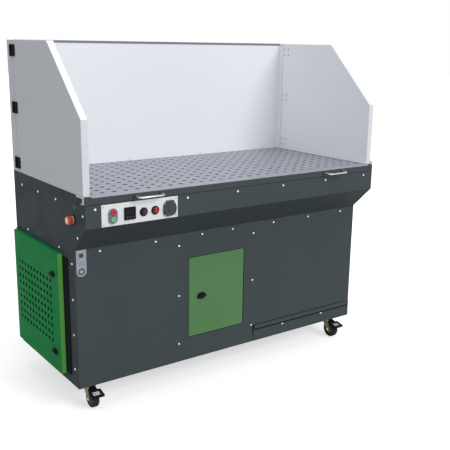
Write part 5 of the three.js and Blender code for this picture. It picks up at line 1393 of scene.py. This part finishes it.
def brake_pedal(corner, place):
    """A black pressed frame that slopes away from its pivot, round a bright tread plate."""
    pivot_y, pivot_z = PEDAL.pivot
    slope = PEDAL.fall / (PEDAL.far + pivot_y)

    def level(y):
        return pivot_z - slope * (pivot_y - y)

    def slab(half, near, far, lift, depth):
        corners = ((-half, near), (half, near), (half, far), (-half, far))
        top = [Vector((x, y, level(y) + lift)) for x, y in corners]
        return [[point - Vector((0, 0, depth)) for point in top], top]

    shape = Shape(BLACK_METAL)
    shape.skin(slab(PEDAL.arm, pivot_y, -PEDAL.near - PEDAL.arm_lap, PEDAL.arm_lift, PEDAL.plate))
    outer = rounded(about(0, PEDAL.half), (-PEDAL.far, -PEDAL.near), PEDAL.corners[0])
    window = rounded(*PEDAL.window, PEDAL.corners[1])
    shape.plate("z", outer, [window], (-PEDAL.plate / 2 - PEDAL.flange, PEDAL.plate / 2))
    for v in shape.bm.verts:
        if v.co.z < PEDAL.plate and v.co.y < -PEDAL.near + 0.1:
            v.co.z += level(v.co.y)
    shape.ring("x", PEDAL.pivot, PEDAL.boss, about(0, PEDAL.arm), 24)
    shape.use(SCREW_STEEL)
    shape.skin(slab(*PEDAL.tread))
    for i in range(PEDAL.ribs):
        y = PEDAL.rib_at - i * PEDAL.rib_step
        shape.skin(slab(PEDAL.rib_half, y, y - PEDAL.rib_width, *PEDAL.rib))
    shape.bm.transform(place)
    node = f"{corner}_brake_pedal"
    shape.piece(f"{corner}_pedal_frame", f"{corner}_pedal", "black_metal", [node], bevel=0.6)


# Camera, light and ground

CAMERA = Sizes(place=(-1109, -2380, 1466.4), yaw=36.16, pitch=14.05, roll=0.93, lens=58.24, sensor=36)


def camera():
    data = bpy.data.cameras.new("camera")
    data.lens = CAMERA.lens
    data.sensor_width = CAMERA.sensor
    made = place_object("camera", data)
    made.matrix_world = Matrix.Translation(ORIGIN + Vector(CAMERA.place) * MM)
    for turn, axis in ((-CAMERA.yaw, "Z"), (90 - CAMERA.pitch, "X"), (CAMERA.roll, "Z")):
        made.matrix_world = made.matrix_world @ Matrix.Rotation(math.radians(turn), 4, axis)
    bpy.context.scene.camera = made


KEY_LIGHT = Sizes(place=(2.4, -7.2, 5.3), aim=(0, 0, 0.7), size=(3.6, 3.0), power=335, colour=(1, 1, 1))
TOP_LIGHT = Sizes(place=(-0.4, -0.3, 3.2), aim=(0.2, 0, 0.8), size=(1.6, 2.0), power=17,
                  colour=(1, 0.98, 0.95))
FLOOR = Sizes(half=30, albedo=0.7, bounce_share=0.45, lift=0.6, clear=(0.8, 2.1))
AMBIENT = Sizes(colour=(0.93, 0.96, 1, 1), strength=0.53)


def area_light(name, light):
    data = bpy.data.lights.new(name, "AREA")
    data.shape = "RECTANGLE"
    data.size, data.size_y = light.size
    data.energy = light.power
    data.color = light.colour
    made = place_object(name, data)
    made.location = light.place
    made.rotation_euler = (Vector(light.aim) - Vector(light.place)).to_track_quat("-Z", "Y").to_euler()


def world():
    made = bpy.data.worlds.new("studio")
    bpy.context.scene.world = made
    nodes = Nodes(made)
    ambient = nodes.tree.nodes["Background"]
    nodes.set(ambient, {"Color": AMBIENT.colour, "Strength": AMBIENT.strength})
    white = nodes.node("ShaderNodeBackground", sockets={"Color": (1, 1, 1, 1)})
    mix = nodes.node("ShaderNodeMixShader", {0: nodes.seen(), 1: ambient.outputs[0], 2: white.outputs[0]})
    nodes.link(nodes.tree.nodes["World Output"], {"Surface": mix.outputs[0]})


def ground():
    """A pale floor that keeps the table's shadow and runs out into the white background."""
    bm = bmesh.new()
    bmesh.ops.create_grid(bm, x_segments=4, y_segments=4, size=FLOOR.half)
    mesh = bpy.data.meshes.new("floor")
    bm.to_mesh(mesh)
    bm.free()
    made = place_object("floor", mesh)
    finish = Finish("pale studio floor", (FLOOR.albedo,) * 3, 0.9, Specular_IOR_Level=0.1)
    seen = finish.seen()
    pale = finish.shades(finish.noise(1.5, 3), 0.99, 1.01)
    finish.link(finish.shader, {"Base Color": finish.mix(seen, finish.shade(FLOOR.bounce_share), pale)})
    distance = finish.node("ShaderNodeVectorMath", {0: finish.space}, operation="LENGTH").outputs["Value"]
    far = finish.remap(distance, FLOOR.clear, (FLOOR.lift, 1))
    show = finish.node("ShaderNodeMath", {0: far, 1: seen}, operation="MULTIPLY").outputs[0]
    glow = finish.node("ShaderNodeEmission", {"Strength": show})
    both = finish.node("ShaderNodeAddShader", {0: finish.shader.outputs[0], 1: glow.outputs[0]})
    finish.link(finish.tree.nodes["Material Output"], {"Surface": both.outputs[0]})
    mesh.materials.append(finish.material)


def studio():
    bpy.context.scene.view_settings.view_transform = "Standard"
    world()
    ground()
    area_light("key light", KEY_LIGHT)
    area_light("overhead light", TOP_LIGHT)


camera()
studio()
dress_kept_nodes()
cabinet_screws()
drawer_screws()
drawer_lip()
perforated_worktop()
tray_mesh()
for side in SIDES:
    tray_handle(side)
    wing(side)
back_wall_trim()
side_door()
latch("front_door_latch", "y", -1)
latch("side_door_upper_latch", "x", -1)
latch("side_door_lower_latch", "x", 1)
seals_and_gap_shade()
twin_button()
panel_meter()
lamp("running_lamp", DARK_LENS, "dark_red_lens")
lamp("fault_lamp", RED_LENS, "red_plastic")
socket_parts()
emergency_stop()
front_tag()
wing_keepers()
lower_skirt()
cable_gland()
for place in ("front", "rear"):
    filter_cartridge(place)
fan_motor()
fan_impeller()
for corner in CORNERS:
    caster(corner)
